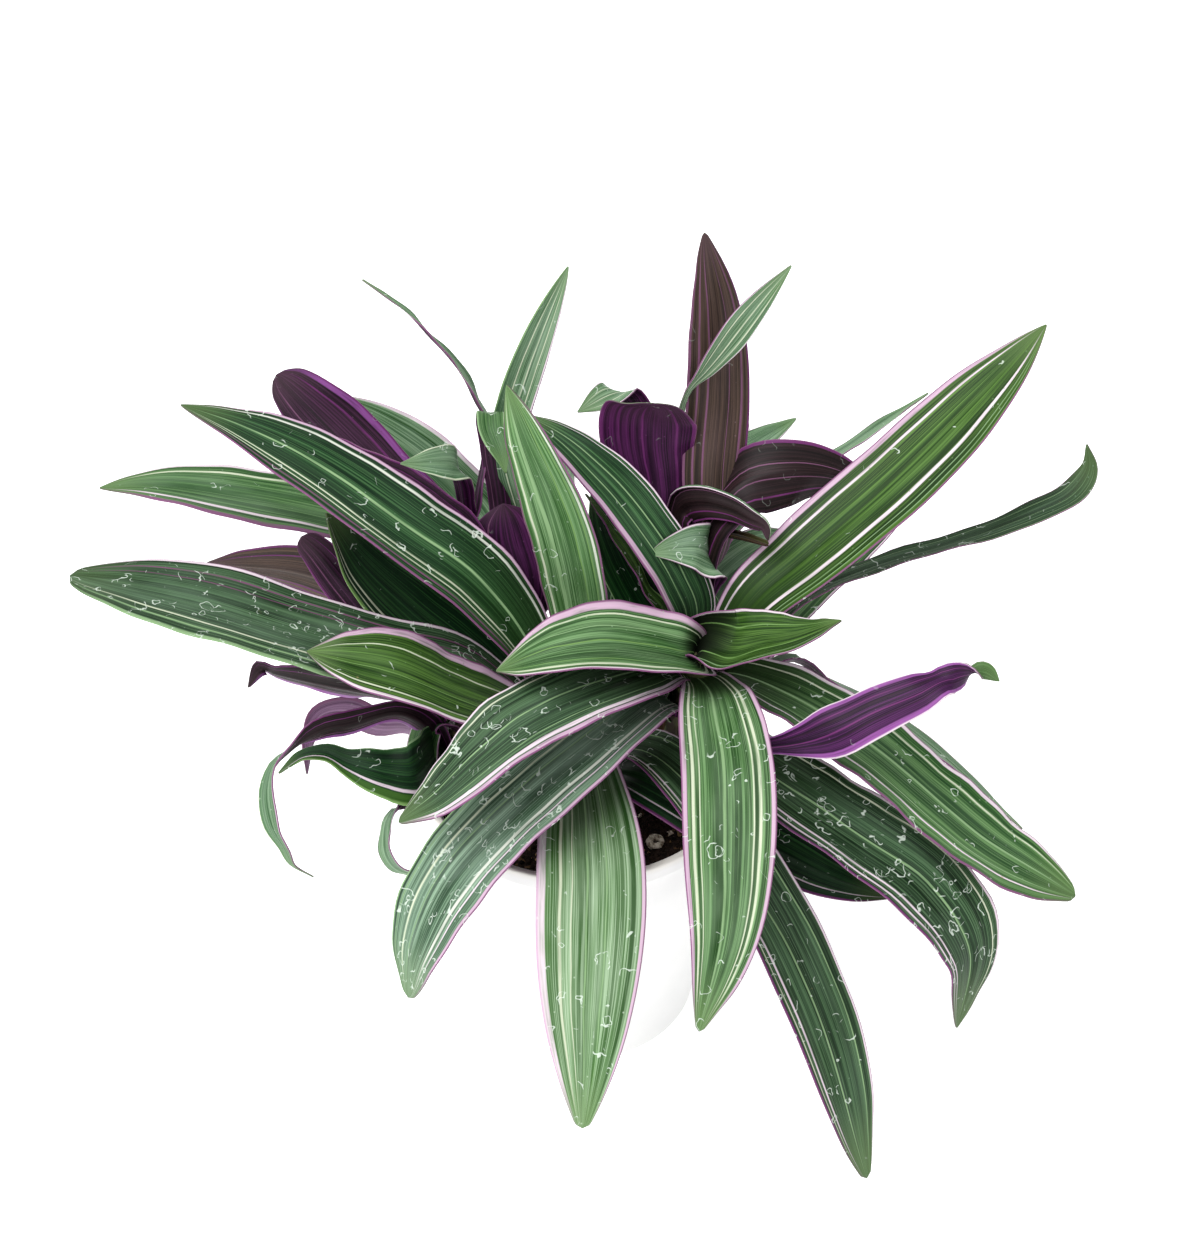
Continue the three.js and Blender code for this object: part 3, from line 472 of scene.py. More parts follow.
leaves = {
    "a01": dict(at=163, faces=185,
        path=((37, -11, 177), (27, -16, 184), (8, -21, 191), (-10, -24, 190), (-29, -24, 181)),
        spans=((0, 3), (0.05, 6.5), (0.12, 10.5), (0.28, 16.5), (0.55, 19), (0.75, 15), (0.9, 8),
            (1, 0.25)), folds=((0, 120), (0.1, 90), (0.3, 38), (1, 18)),
        turns=((0, 16), (0.15, 8), (0.3, 0), (1, 0)), wave=0.3, reach=0, look="leafy", paintedSheen=0.15,
        streakDark=0.7, baseTintAndShade=1.0, baseEnd=0.2, heart=0.24, scars=0.0, drops=0.0,
        lines=((-0.72, 0.1, "cream"), (-0.5, 0.02, "lime"), (0.1, 0.03, "lime"), (0.45, 0.02, "pale"),
            (0.72, 0.03, "cream")), margins=((0.1, "edge", "blush"), (0.2, "edge", "lilac"))),
    "a02": dict(at=168, faces=-10, path=((53, -9, 177), (63, -15, 185), (75, -18, 191), (90, -17, 198)),
        spans=((0, 4.5), (0.05, 9.5), (0.1, 12.5), (0.2, 15), (0.35, 15.5), (0.55, 14), (0.75, 9.6),
            (0.9, 4.4), (1, 0.25)),
        folds=((0, 150), (0.08, 120), (0.2, 84), (0.35, 58), (0.6, 34), (1, 20)),
        turns=((0, -40), (0.12, -28), (0.3, -8), (0.6, 0), (1, 0)), wave=0.3, reach=-2, look="fresh",
        paintedSheen=0.1, streakDark=0.7, baseTintAndShade=1.0, baseEnd=0.4, heart=0.36, scars=0.0, drops=0.0,
        lines=((-0.6, 0.03, "lime"), (0.2, 0.03, "lime"), (0.6, 0.05, "pale")),
        margins=((0.07, "edge", "blush"), (0.06, "edge", "blush"))),
    "a03": dict(at=160, faces=35,
        path=((62, 8, 186), (79, 14, 200), (109, 29, 221), (139, 51, 241), (165, 72, 260)), width=35,
        blunt=3.2, fold=22, wave=0.3, look="fresh", paintedSheen=0.15, baseTintAndShade=1.0, baseEnd=0.5, scars=0.15,
        drops=0.05,
        lines=((-0.66, 0.05, "blush"), (-0.2, 0.02, "moss"), (0.48, 0.1, "blush"), (0.72, 0.02, "pale"),
            (0.85, 0.02, "pale")), margins=((0.14, "edge", "lilac"), (0.04, "edge", "rose"))),
    "a04": dict(at=157, faces=-20,
        path=((74, -14, 160), (101, -30, 151), (121, -44, 141), (143, -55, 127), (174, -64, 111)), width=35,
        blunt=4.2, tip=2.5, fold=20, wave=0.8, look="mid", paintedSheen=0.14, baseTintAndShade=0.95, baseEnd=0.4, scars=0.5,
        drops=0.25,
        lines=((-0.7, 0.04, "cream"), (-0.1, 0.05, "pale"), (0.45, 0.02, "pale"), (0.66, 0.04, "blush")),
        margins=((0.1, "edge", "blush"), (0.06, "edge", "edge"))),
    "a05": dict(at=156, faces=-90,
        path=((46, -17, 167), (48, -39, 174), (50, -65, 172), (50, -90, 160), (48, -113, 140),
            (40, -129, 113)), width=32, blunt=2.4, tip=1, fold=20, wave=0.7, reach=2, look="leafy",
        paintedSheen=0.3, baseTintAndShade=0.9, heart=0.06, scars=0.2, drops=0.45,
        lines=((-0.66, 0.06, "cream"), (-0.52, 0.03, "cream"), (0.1, 0.06, "pale"), (0.62, 0.02, "cream"),
            (0.76, 0.06, "cream")), margins=((0.12, "edge", "lilac"), (0.12, "edge", "lilac"))),
    "a06": dict(at=160, faces=205,
        path=((14, -26, 178), (-18, -44, 176), (-34, -55, 169), (-49, -62, 157), (-62, -65, 148)), width=33,
        tip=1, fold=20, wave=0.6, look="old", paintedSheen=0.22, streakLight=0.45, baseEnd=0.5, scars=0.2,
        drops=0.7,
        lines=((-0.74, 0.14, "blush"), (-0.5, 0.02, "pale"), (0.2, 0.03, "pale"), (0.84, 0.03, "cream")),
        margins=((0.16, "edge", "lilac"), (0.05, "edge", "blush"))),
    "a07": dict(at=147, faces=215,
        path=((25, -18, 162), (4, -38, 159), (-21, -55, 146), (-45, -71, 126), (-57, -85, 104),
            (-60, -91, 88)), width=34, blunt=4.6, tip=2.2, wave=0.7, look="worn", paintedSheen=0.5, streakDark=0.7,
        drops=1.0,
        lines=((-0.5, 0.07, "white"), (-0.66, 0.03, "blush"), (0.3, 0.02, "pale"), (0.56, 0.04, "cream"),
            (0.86, 0.02, "pale")), margins=((0.1, "edge", "lilac"), (0.04, "pale", "pale"))),
    "a08": dict(at=142, faces=-45,
        path=((56, -26, 146), (77, -45, 142), (101, -60, 134), (121, -71, 124), (136, -83, 103),
            (132, -96, 78)), width=35, blunt=4, wave=0.8, look="old", paintedSheen=0.2, streakLight=0.45,
        baseEnd=0.5, scars=0.4, drops=0.9,
        lines=((-0.78, 0.03, "cream"), (0.0, 0.04, "pale"), (0.7, 0.04, "blush"), (0.85, 0.04, "blush")),
        margins=((0.07, "edge", "blush"), (0.05, "edge", "magenta"))),
    "a09": dict(at=132, faces=25,
        path=((76, 12, 156), (89, 6, 151), (103, 0, 146), (119, -7, 138), (135, -14, 127), (160, -27, 108)),
        width=10, blunt=3, fold=16, turns=((0, 0), (0.2, 30), (0.4, 24), (0.6, -6), (1, -12)), wave=0.3,
        paintedSheen=0.3, margins=((0.1, "edge", "blush"), (0.06, "edge", "blush"))),
    "a10": dict(at=152, faces=125,
        path=((40, 10, 178), (35, 11, 194), (17, 22, 219), (1, 31, 233), (-8, 39, 236), (-20, 50, 237)),
        width=21, blunt=3, fold=24, wave=0.4, look="deep", paintedSheen=0.2, scars=0.1, drops=0.12,
        lines=((0.82, 0.02, "blush"), (0.2, 0.04, "pale"), (-0.3, 0.03, "pale")),
        margins=((0.24, "edge", "lilac"), (0.07, "edge", "blush"))),
    "a11": dict(grown=True, at=150, faces=192,
        path=((40, 14, 160), (42, 19, 172), (44, 22, 184), (46, 22, 195), (42, 18, 202), (33, 15, 204),
            (24, 12, 204)),
        spans=((0, 4), (0.45, 5), (0.6, 8), (0.7, 10.4), (0.8, 8.4), (0.9, 4.8), (1, 0.25)),
        turns=((0, -60), (0.5, -74), (0.62, -40), (0.7, 15), (0.78, 46), (1, 48)), wave=0.2, reach=0,
        under="violet", paintedSheen=0.5, scars=0.2, drops=0.6,
        margins=((0.1, "edge", "blush"), (0.1, "edge", "blush"))),
    "a12": dict(at=147, faces=40,
        path=((79, 27, 171), (105, 37, 178), (138, 45, 184), (165, 51, 192), (179, 56, 197), (185, 62, 204),
            (184, 67, 211)), spans=((0, 6), (0.15, 5.5), (0.6, 5.2), (0.86, 5.6), (0.93, 4.6), (1, 0.25)),
        turns=((0, 0), (0.2, 10), (0.6, 15), (1, -10)), wave=0.6, look="old", paintedSheen=0.3, scars=0.6,
        drops=0.7, lines=((-0.6, 0.03, "pale"), (0.1, 0.03, "pale"), (0.6, 0.03, "pale")),
        margins=((0.06, "edge", "rose"), (0.05, "edge", "pale"))),
    "a13": dict(at=152, faces=-62,
        path=((58, -30, 153), (70, -40, 161), (88, -46, 173), (101, -45, 181), (116, -42, 187),
            (127, -37, 189), (138, -33, 189), (144, -33, 184)),
        spans=((0, 4), (0.25, 3), (0.33, 3.2), (0.42, 6), (0.5, 9), (0.6, 9), (0.75, 7.4), (0.85, 5.4),
            (0.91, 4), (0.96, 2.8), (1, 0.3)), fold=14,
        turns=((0, 0), (0.18, 40), (0.32, 84), (0.83, 90), (0.9, 60), (0.95, 10), (1, -20)), wave=0.4,
        look="mid", under="bright", paintedSheen=0.05, streakLight=0.3,
        underLines=((-0.3, 0.04, "plum"), (-0.05, 0.05, "magenta"), (0.35, 0.05, "plum"),
            (0.55, 0.04, "magenta")), underMargins=((0.3, "blush", "orchid"), (0.2, "blush", "orchid"))),
    "b01": dict(at=140, faces=145,
        path=((-20, 7, 170), (-37, 11, 194), (-62, 18, 212), (-91, 33, 226), (-120, 47, 234),
            (-142, 57, 236)), width=34, fold=22, look="deep", paintedSheen=0.12, streakLight=0.4, baseEnd=0.5,
        scars=0.4, drops=0.2,
        lines=((-0.82, 0.04, "rose"), (-0.68, 0.03, "cream"), (-0.55, 0.04, "cream"), (0.05, 0.05, "pale"),
            (0.8, 0.05, "white")), margins=((0.05, "edge", "edge"), (0.08, "edge", "lilac"))),
    "b02": dict(
        at=146, faces=60, path=((1, 10, 173), (-3, 9, 204), (-9, 13, 227), (-18, 20, 248), (-25, 29, 264)),
        width=29, fold=24, wave=0.3, look="young", paintedSheen=0.15, streakLight=0.5, baseEnd=0.2, scars=0.1,
        drops=0.15,
        lines=((-0.8, 0.05, "cream"), (-0.42, 0.12, "pale"), (0.3, 0.03, "lime"), (0.66, 0.03, "lime"),
            (0.84, 0.09, "white")), margins=((0.05, "edge", "rose"), (0.05, "edge", "edge"))),
    "b03": dict(at=136, faces=205,
        path=((-23, -12, 151), (-42, -18, 165), (-63, -20, 179), (-80, -19, 183), (-95, -16, 183)),
        width=36, fold=20, roll=(10, 20), wave=0.4, look="fresh", paintedSheen=0.15, drops=0.1,
        lines=((-0.72, 0.04, "cream"), (-0.2, 0.02, "lime"), (0.5, 0.03, "cream")),
        margins=((0.12, "edge", "blush"), (0.2, "edge", "lilac"))),
    "b04": dict(at=126, faces=180,
        path=((-40, 1, 157), (-64, -2, 167), (-99, 0, 178), (-134, 6, 187), (-163, 11, 191),
            (-181, 16, 191)), width=40, blunt=4, tip=3, wave=0.7, look="old", paintedSheen=0.5, streakLight=0.4,
        tipTint=0.15, scars=0.6, drops=0.85,
        lines=((-0.7, 0.04, "pale"), (-0.52, 0.03, "cream"), (0.55, 0.02, "rose"), (0.74, 0.03, "rose")),
        margins=((0.1, "pale", "pale"), (0.07, "edge", "blush"))),
    "b05": dict(
        at=118, faces=160, path=((-40, 15, 150), (-62, 29, 162), (-80, 39, 177), (-92, 47, 195)), width=34,
        blunt=3, wave=0.4, look="dark", paintedSheen=0.1, drops=0.1,
        lines=((-0.8, 0.03, "cream"), (-0.62, 0.06, "cream")),
        margins=((0.1, "lime", "lime"), (0.05, "edge", "edge"))),
    "b06": dict(at=133, faces=-90,
        path=((-1, -17, 140), (2, -41, 135), (4, -73, 128), (3, -103, 110), (2, -123, 92), (1, -137, 73)),
        width=38, blunt=2.2, tip=2, wave=0.4, look="light", paintedSheen=0.25, streakLight=0.5, baseTintAndShade=0.95,
        baseEnd=0.42, drops=0.35,
        lines=((-0.78, 0.08, "moss"), (-0.3, 0.02, "pale"), (0.05, 0.03, "pale"), (0.33, 0.02, "cream"),
            (0.55, 0.05, "cream")), margins=((0.08, "edge", "lilac"), (0.18, "lilac", "blush"))),
    "b07": dict(at=124, faces=-50,
        path=((23, -16, 137), (41, -33, 133), (57, -56, 120), (73, -78, 103), (88, -102, 76),
            (101, -126, 33)), width=27, blunt=4, tip=1.5, look="old", paintedSheen=0.25, streakLight=0.5,
        drops=0.55,
        lines=((-0.7, 0.03, "pale"), (0.1, 0.05, "pale"), (0.72, 0.05, "blush"), (0.86, 0.03, "cream")),
        margins=((0.07, "edge", "blush"), (0.06, "edge", "magenta"))),
    "b08": dict(at=114, faces=-45,
        path=((18, -20, 128), (43, -32, 122), (68, -41, 113), (89, -48, 105), (112, -52, 98)), width=28,
        blunt=3, fold=16, look="dark", paintedSheen=0.2, lines=((0.6, 0.05, "blush"),),
        margins=((0.1, "edge", "blush"), (0.1, "edge", "magenta"))),
    "b09": dict(
        at=134, faces=40, path=((8, 30, 156), (10, 48, 168), (14, 65, 180)), width=18, fold=24, look="dark",
        paintedSheen=0.1, lines=((0.3, 0.03, "pale"),)),
    "c01": dict(
        at=178, faces=-58, path=((47, 33, 203), (47, 41, 214), (49, 56, 238), (48, 65, 267), (43, 72, 298)),
        width=23, tip=0.6, fold=22, roll=(30, 15), wave=0.4, look="mid", under="olive", streakLight=0.5,
        underLines=((-0.72, 0.06, "rose"), (-0.3, 0.02, "rose"), (0.35, 0.05, "rose"),
            (0.66, 0.06, "rose")), underMargins=((0.08, "edge", "magenta"), (0.1, "rose", "rose"))),
    "c02": dict(grown=True, at=172, faces=140,
        path=((32, 49, 204), (34, 54, 223), (38, 55, 242), (44, 53, 253), (52, 53, 266), (61, 56, 278),
            (73, 62, 291)),
        spans=((0, 4), (0.3, 3), (0.5, 1.2), (0.56, 1.6), (0.68, 4.6), (0.78, 5.6), (0.88, 4.2), (1, 0.3)),
        fold=22, turns=((0, 20), (0.3, 5), (0.55, 30), (0.8, 50), (1, 60)), wave=0.3, streaks=14, drops=0.1,
        lines=((-0.5, 0.08, "cream"), (0.1, 0.08, "cream"), (0.6, 0.08, "cream"))),
    "c03": dict(grown=True, at=144, faces=-45,
        path=((44, 29, 196), (50, 33, 208), (59, 36, 217), (74, 38, 220), (89, 41, 217), (107, 43, 207)),
        width=27, blunt=3, fold=14, turns=((0, 60), (0.2, 112), (1, 125)), wave=0.4, under="dusk",
        underLines=((-0.6, 0.04, "magenta"), (-0.1, 0.03, "rose"), (0.3, 0.03, "rose")),
        underMargins=((0.07, "plum", "plum"), (0.12, "edge", "magenta"))),
    "c04": dict(grown=True, at=132, faces=-40,
        path=((35, 32, 194), (36, 37, 205), (43, 30, 214), (53, 24, 216), (60, 19, 215), (65, 15, 214),
            (66, 12, 210)),
        spans=((0, 5), (0.4, 6), (0.55, 8.2), (0.7, 7.6), (0.85, 5.6), (0.94, 3.6), (1, 0.6)), fold=10,
        curl=(0, -150), turns=((0, 60), (0.2, 110), (0.6, 110), (1, 104)), wave=0.3, under="dusk",
        streaks=14),
    "c05": dict(grown=True, at=154, faces=-150,
        path=((27, 42, 205), (26, 45, 212), (24, 48, 225), (24, 49, 235), (25, 48, 241), (25, 47, 244)),
        tip=7, spans=((0, 7), (0.5, 12), (0.74, 16), (0.88, 17.5), (0.95, 15), (1, 10)), fold=14,
        turns=((0, -40), (0.25, -66), (0.7, -62), (0.85, -56), (1, -54)), under="violet",
        underLines=((-0.6, 0.05, "magenta"), (0.1, 0.04, "magenta"), (0.6, 0.05, "magenta"))),
    "c06": dict(grown=True, at=164, faces=190,
        path=((27, 53, 206), (23, 62, 217), (20, 68, 226), (16, 70, 232), (11, 65, 235), (-1, 58, 232)),
        spans=((0, 4), (0.5, 6.5), (0.66, 6), (0.8, 6), (0.9, 5.2), (1, 0.25)), fold=14,
        turns=((0, -60), (0.6, -78), (0.76, -70), (0.84, -10), (0.9, 30), (1, 40)), under="violet",
        lines=((-0.5, 0.04, "cream"), (0.0, 0.04, "cream"), (0.5, 0.04, "cream"))),
    "c07": dict(at=164, faces=100, path=((52, 79, 190), (67, 93, 194), (81, 104, 196)), width=15, drops=0.0),
    "c08": dict(
        at=152, faces=70, path=((67, 78, 177), (101, 96, 189), (116, 104, 196), (131, 112, 202)), width=6,
        turns=((0, 0), (0.3, 18), (1, 18)), streaks=8, drops=0.0),
    "c09": dict(at=134, faces=45, path=((50, 53, 153), (59, 60, 159), (69, 65, 164), (82, 68, 168)), width=24,
        turns=((0, 0), (0.3, -25), (1, -30)), drops=0.0),
    "d01": dict(at=176, faces=180,
        path=((-33, 64, 222), (-37, 65, 233), (-41, 67, 242), (-47, 68, 251), (-53, 69, 258),
            (-60, 71, 266), (-68, 71, 273), (-76, 72, 279)),
        spans=((0, 4), (0.35, 3.4), (0.5, 2.6), (0.65, 1.9), (0.8, 1.2), (0.92, 0.8), (1, 0.3)),
        turns=((0, 0), (1, 0)), streaks=10),
    "d02": dict(
        at=182, faces=10, path=((-26, 55, 222), (-23, 58, 236), (-15, 62, 260), (-4, 69, 286)), width=13,
        fold=22, roll=(-60, -80), wave=0.2, paintedSheen=0.4, streaks=14,
        lines=((-0.4, 0.06, "cream"), (0.1, 0.05, "cream"), (0.5, 0.05, "cream")),
        margins=((0.08, "lime", "pale"), (0.12, "edge", "blush"))),
    "d03": dict(at=168, faces=150,
        path=((-55, 59, 182), (-71, 64, 197), (-86, 70, 211), (-100, 76, 224), (-110, 80, 233)), width=25,
        blunt=3.6, tip=6, turns=((0, -60), (0.25, -105), (1, -108)), wave=0.4,
        underMargins=((0.2, "magenta", "orchid"), (0.08, "edge", "magenta"))),
    "d04": dict(
        at=148, faces=80, path=((-39, 80, 166), (-56, 91, 182), (-73, 100, 192), (-93, 110, 202)), width=26,
        blunt=3, paintedSheen=0.2, drops=0.0, lines=((0.6, 0.04, "moss"),),
        margins=((0.06, "pale", "pale"), (0.14, "lilac", "blush"))),
    "d05": dict(
        at=160, faces=220, path=((-40, 34, 195), (-56, 41, 209), (-82, 49, 220), (-106, 57, 227)), width=13,
        roll=(-40, -60), streaks=14),
    "d06": dict(grown=True, at=180, faces=182,
        path=((-40, 40, 178), (-41, 47, 196), (-42, 46, 210), (-44, 43, 220), (-50, 39, 224),
            (-63, 34, 227)), spans=((0, 3.5), (0.5, 3.6), (0.66, 5), (0.76, 6.6), (0.88, 4.2), (1, 0.25)),
        fold=12, turns=((0, -60), (0.55, -70), (0.66, -40), (0.74, 25), (1, 40)), under="violet", paintedSheen=0.3,
        margins=((0.08, "cream", "cream"), (0.08, "cream", "cream"))),
    "d07": dict(
        grown=True, at=148, faces=-80, path=((-22, 30, 175), (-26, 36, 192), (-28, 42, 203)), width=30,
        blunt=6, fold=22, look="dark", under="violet"),
    "d08": dict(at=156, faces=180,
        path=((-68, 72, 166), (-97, 71, 177), (-130, 71, 185), (-159, 72, 189), (-178, 70, 189)), width=34,
        blunt=3, look="mid", paintedSheen=0.45, scars=0.2, drops=0.1,
        lines=((-0.6, 0.1, "blush"), (0.74, 0.05, "cream")),
        margins=((0.16, "edge", "edge"), (0.08, "edge", "blush"))),
    "d09": dict(grown=True, at=184, faces=-92,
        path=((-29, 45, 193), (-32, 56, 216), (-33, 57, 229), (-32, 54, 235), (-31, 45, 234),
            (-28, 37, 230), (-26, 31, 225)),
        spans=((0, 4), (0.5, 4), (0.65, 4.6), (0.75, 4.9), (0.88, 4), (1, 0.3)), fold=20, look="mid",
        paintedSheen=0.3, margins=((0.12, "pale", "pale"), (0.12, "pale", "pale"))),
    "e01": dict(at=119, faces=198,
        path=((-66, -7, 147), (-83, -16, 149), (-90, -19, 150), (-99, -23, 148), (-105, -27, 145),
            (-109, -29, 141), (-111, -33, 135), (-111, -37, 130), (-109, -42, 122), (-105, -46, 116),
            (-102, -49, 111), (-95, -51, 107)),
        spans=((0, 6), (0.3, 4.2), (0.37, 4.8), (0.45, 5.1), (0.53, 4.4), (0.62, 2.6), (0.7, 3.6),
            (0.78, 4.4), (0.87, 3.2), (0.94, 1.9), (1, 0.3)),
        turns=((0, -60), (0.2, -95), (0.5, -92), (0.58, -50), (0.66, 0), (0.74, 30), (1, 40)), wave=0.3,
        under="dusk", streaks=14, margins=((0.14, "edge", "lilac"), (0.1, "cream", "cream")),
        underMargins=((0.1, "edge", "magenta"), (0.34, "orchid", "orchid"))),
    "e02": dict(at=112, faces=196,
        path=((-60, -23, 130), (-68, -24, 132), (-74, -24, 134), (-83, -22, 136), (-91, -19, 138),
            (-100, -16, 134), (-109, -17, 126)),
        spans=((0, 7), (0.21, 12), (0.34, 12.4), (0.44, 11.2), (0.58, 8), (0.715, 4), (0.84, 2.6),
            (0.93, 1.6), (1, 0.3)), turns=((0, 20), (0.25, 38), (0.6, 30), (1, 12)), wave=0.9, look="dark",
        paintedSheen=0.15, scars=0.4, lines=((-0.5, 0.13, "blush"), (0.4, 0.03, "moss")),
        margins=((0.42, "lime", "grass"), (0.05, "pale", "pale"))),
    "e03": dict(at=124, faces=140,
        path=((-55, 6, 140), (-75, 2, 149), (-92, 2, 153), (-109, 3, 157), (-114, 3, 159), (-119, -1, 153)),
        width=19, blunt=2.2, turns=((0, -40), (0.25, -75), (1, -80)), wave=0.3, look="mid", under="dusk",
        underMargins=((0.12, "edge", "magenta"), (0.42, "orchid", "orchid"))),
    "e04": dict(at=109, faces=182,
        path=((-63, 15, 121), (-75, 17, 120), (-88, 20, 123), (-96, 19, 122), (-101, 14, 116),
            (-102, 5, 105)), spans=((0, 5), (0.3, 6.5), (0.55, 7), (0.7, 5.6), (0.85, 3), (1, 0.3)),
        turns=((0, -80), (0.5, -90), (0.7, -80), (1, -40)), under="soft", underLines=(),
        underMargins=((0.2, "edge", "rose"), (0.1, "rose", "rose"))),
    "e05": dict(grown=True, at=107, faces=310,
        path=((-56, -22, 117), (-65, -27, 120), (-69, -33, 119), (-70, -39, 115), (-69, -44, 111),
            (-66, -46, 107), (-61, -46, 104), (-54, -43, 103)),
        spans=((0, 5), (0.4, 3.5), (0.6, 2), (0.75, 3.4), (0.9, 4.2), (1, 3)),
        turns=((0, 0), (0.3, -30), (0.6, -60), (1, -100)), streaks=8),
    "d10": dict(at=126, faces=195, path=((-60, 48, 144), (-83, 53, 154), (-105, 55, 162), (-139, 57, 164)),
        width=28, blunt=3, roll=(-80, -80), wave=0.4, look="mid", under="olive",
        underLines=((-0.6, 0.05, "magenta"), (0.6, 0.06, "magenta"), (0.78, 0.04, "magenta")),
        underMargins=((0.08, "edge", "magenta"), (0.1, "edge", "magenta"))),
    "d11": dict(at=114, faces=205,
        path=((-72, 29, 150), (-81, 36, 161), (-89, 41, 170), (-96, 45, 178), (-102, 47, 184)), width=13,
        blunt=3.4, tip=4, turns=((0, -40), (0.3, -85), (1, -90)), wave=0.2, look="mid"),
    "a14": dict(
        at=126, faces=60, path=((78, 56, 147), (111, 95, 154), (141, 132, 158)), width=26, look="mid"),
    "a15": dict(at=138, faces=160,
        path=((30, 14, 175), (24, 16, 184), (19, 20, 194), (12, 26, 202), (6, 32, 209), (2, 35, 213)),
        width=6, look="fresh", streaks=12, margins=((0.2, "edge", "lime"), (0.2, "edge", "lime"))),
    "c10": dict(
        at=158, faces=90, path=((53, 93, 179), (54, 129, 175), (56, 163, 169), (57, 196, 161)), width=22,
        look="mid"),
    "d12": dict(
        at=162, faces=20, path=((-18, 71, 180), (-13, 103, 172), (-10, 136, 159), (-6, 167, 143)), width=24,
        look="mid"),
    "d13": dict(
        at=126, faces=100, path=((-55, 111, 164), (-72, 137, 157), (-85, 159, 152)), width=26, look="mid"),
    "e06": dict(grown=True, at=112, faces=60,
        path=((-57, -2, 116), (-57, 2, 126), (-54, 4, 132), (-47, 3, 131), (-42, 2, 126)), width=14,
        blunt=2.6, fold=20, look="mid"),
    "a16": dict(
        grown=True, at=140, faces=150, path=((40, 15, 161), (26, 24, 178), (15, 35, 194), (5, 48, 209)),
        width=42, blunt=3, fold=12, wave=0.2, reach=4, look="dark", paintedSheen=0.1,
        margins=((0.05, "pale", "moss"), (0.05, "pale", "moss"))),
    "c11": dict(
        grown=True, at=152, faces=-30, path=((43, 36, 186), (48, 29, 199), (56, 19, 206), (66, 17, 204)),
        spans=((0, 3), (0.4, 2.6), (0.7, 2.4), (0.9, 2), (1, 1.2)), folds=((0, 90), (0.4, 150), (1, 120)),
        wave=0.2, reach=5, look="dry", under="dry", paintedSheen=0.1, drops=0.0, margins=(), underLines=(),
        underMargins=()),
}


def leafLook(name):
    leaf = dict(plain)
    leaf.update(leaves[name])
    leaf["name"] = name
    leaf["seed"] = list(leaves).index(name) * 1.7 + 0.3
    return leaf


def axisPoint(crown, height):
    foot, heart = Vector(crown["foot"]), Vector(crown["heart"])
    return foot.lerp(heart, (height - foot.z) / (heart.z - foot.z))


class Midrib:
    # A centripetal curve through the path's points, walked by its length.
    def __init__(self, points, samples=240):
        self.points = points
        self.table = [self.at(k / samples) for k in range(samples + 1)]
        self.lengths = [0.0]
        for before, after in zip(self.table, self.table[1:]):
            self.lengths.append(self.lengths[-1] + (after - before).length)
        self.length = self.lengths[-1]
        self.samples = samples

    def at(self, t):
        points = self.points
        spans = len(points) - 1
        k = min(int(t * spans), spans - 1)
        w = t * spans - k
        p1, p2 = points[k], points[k + 1]
        p0 = points[k - 1] if k > 0 else p1 * 2 - p2
        p3 = points[k + 2] if k + 2 <= spans else p2 * 2 - p1
        d1 = max((p2 - p1).length ** 0.5, 1e-4)
        d0 = max((p1 - p0).length ** 0.5, 1e-4)
        d2 = max((p3 - p2).length ** 0.5, 1e-4)
        m1 = ((p1 - p0) / d0 - (p2 - p0) / (d0 + d1) + (p2 - p1) / d1) * d1
        m2 = ((p2 - p1) / d1 - (p3 - p1) / (d1 + d2) + (p3 - p2) / d2) * d1
        c2 = (p2 - p1) * 3 - m1 * 2 - m2
        c3 = (p1 - p2) * 2 + m1 + m2
        return p1 + m1 * w + c2 * w ** 2 + c3 * w ** 3

    def share(self, u):
        goal = u * self.length
        low = min(bisect_right(self.lengths, goal) - 1, self.samples - 1)
        span = self.lengths[low + 1] - self.lengths[low]
        return (low + (goal - self.lengths[low]) / max(span, 1e-9)) / self.samples

    def pointAt(self, u):
        return self.at(self.share(u))

    def tangentAt(self, u):
        t = self.share(u)
        return (self.at(min(t + 1e-3, 1.0)) - self.at(max(t - 1e-3, 0.0))).normalized()


def follow(pairs, u):
    # A smooth value along (place, value) pairs.
    for k in range(len(pairs) - 1):
        (u0, a), (u1, b) = pairs[k], pairs[k + 1]
        if u <= u1 or k == len(pairs) - 2:
            before = pairs[k - 1] if k > 0 else pairs[k]
            after = pairs[k + 2] if k + 2 < len(pairs) else pairs[k + 1]
            slope0 = (b - before[1]) / max(u1 - before[0], 1e-6) * (u1 - u0)
            slope1 = (after[1] - a) / max(after[0] - u0, 1e-6) * (u1 - u0)
            t = max(0.0, min(1.0, (u - u0) / (u1 - u0)))
            return ((2 * t ** 3 - 3 * t ** 2 + 1) * a + (t ** 3 - 2 * t ** 2 + t) * slope0
                    + (3 * t ** 2 - 2 * t ** 3) * b + (t ** 3 - t ** 2) * slope1)
    return pairs[-1][1]


def halfWidth(leaf, u, length):
    if leaf["spans"]:
        half = follow(leaf["spans"], u)
    else:
        full, base = leaf["width"] / 2, bladeSet["sheathWidth"] / 2
        if u < bladeSet["widestAt"]:
            half = base + (full - base) * (1 - (1 - u / bladeSet["widestAt"]) ** 2)
        else:
            toTip = (u - bladeSet["widestAt"]) / (1 - bladeSet["widestAt"])
            half = full * (1 - toTip ** leaf["blunt"]) + leaf["tip"] * toTip
    left = (1 - u) * length
    if left < leaf["tip"]:
        half *= math.sqrt(max(0.0, 1 - (1 - left / leaf["tip"]) ** 2))
    return max(half, bladeSet["leastHalf"])


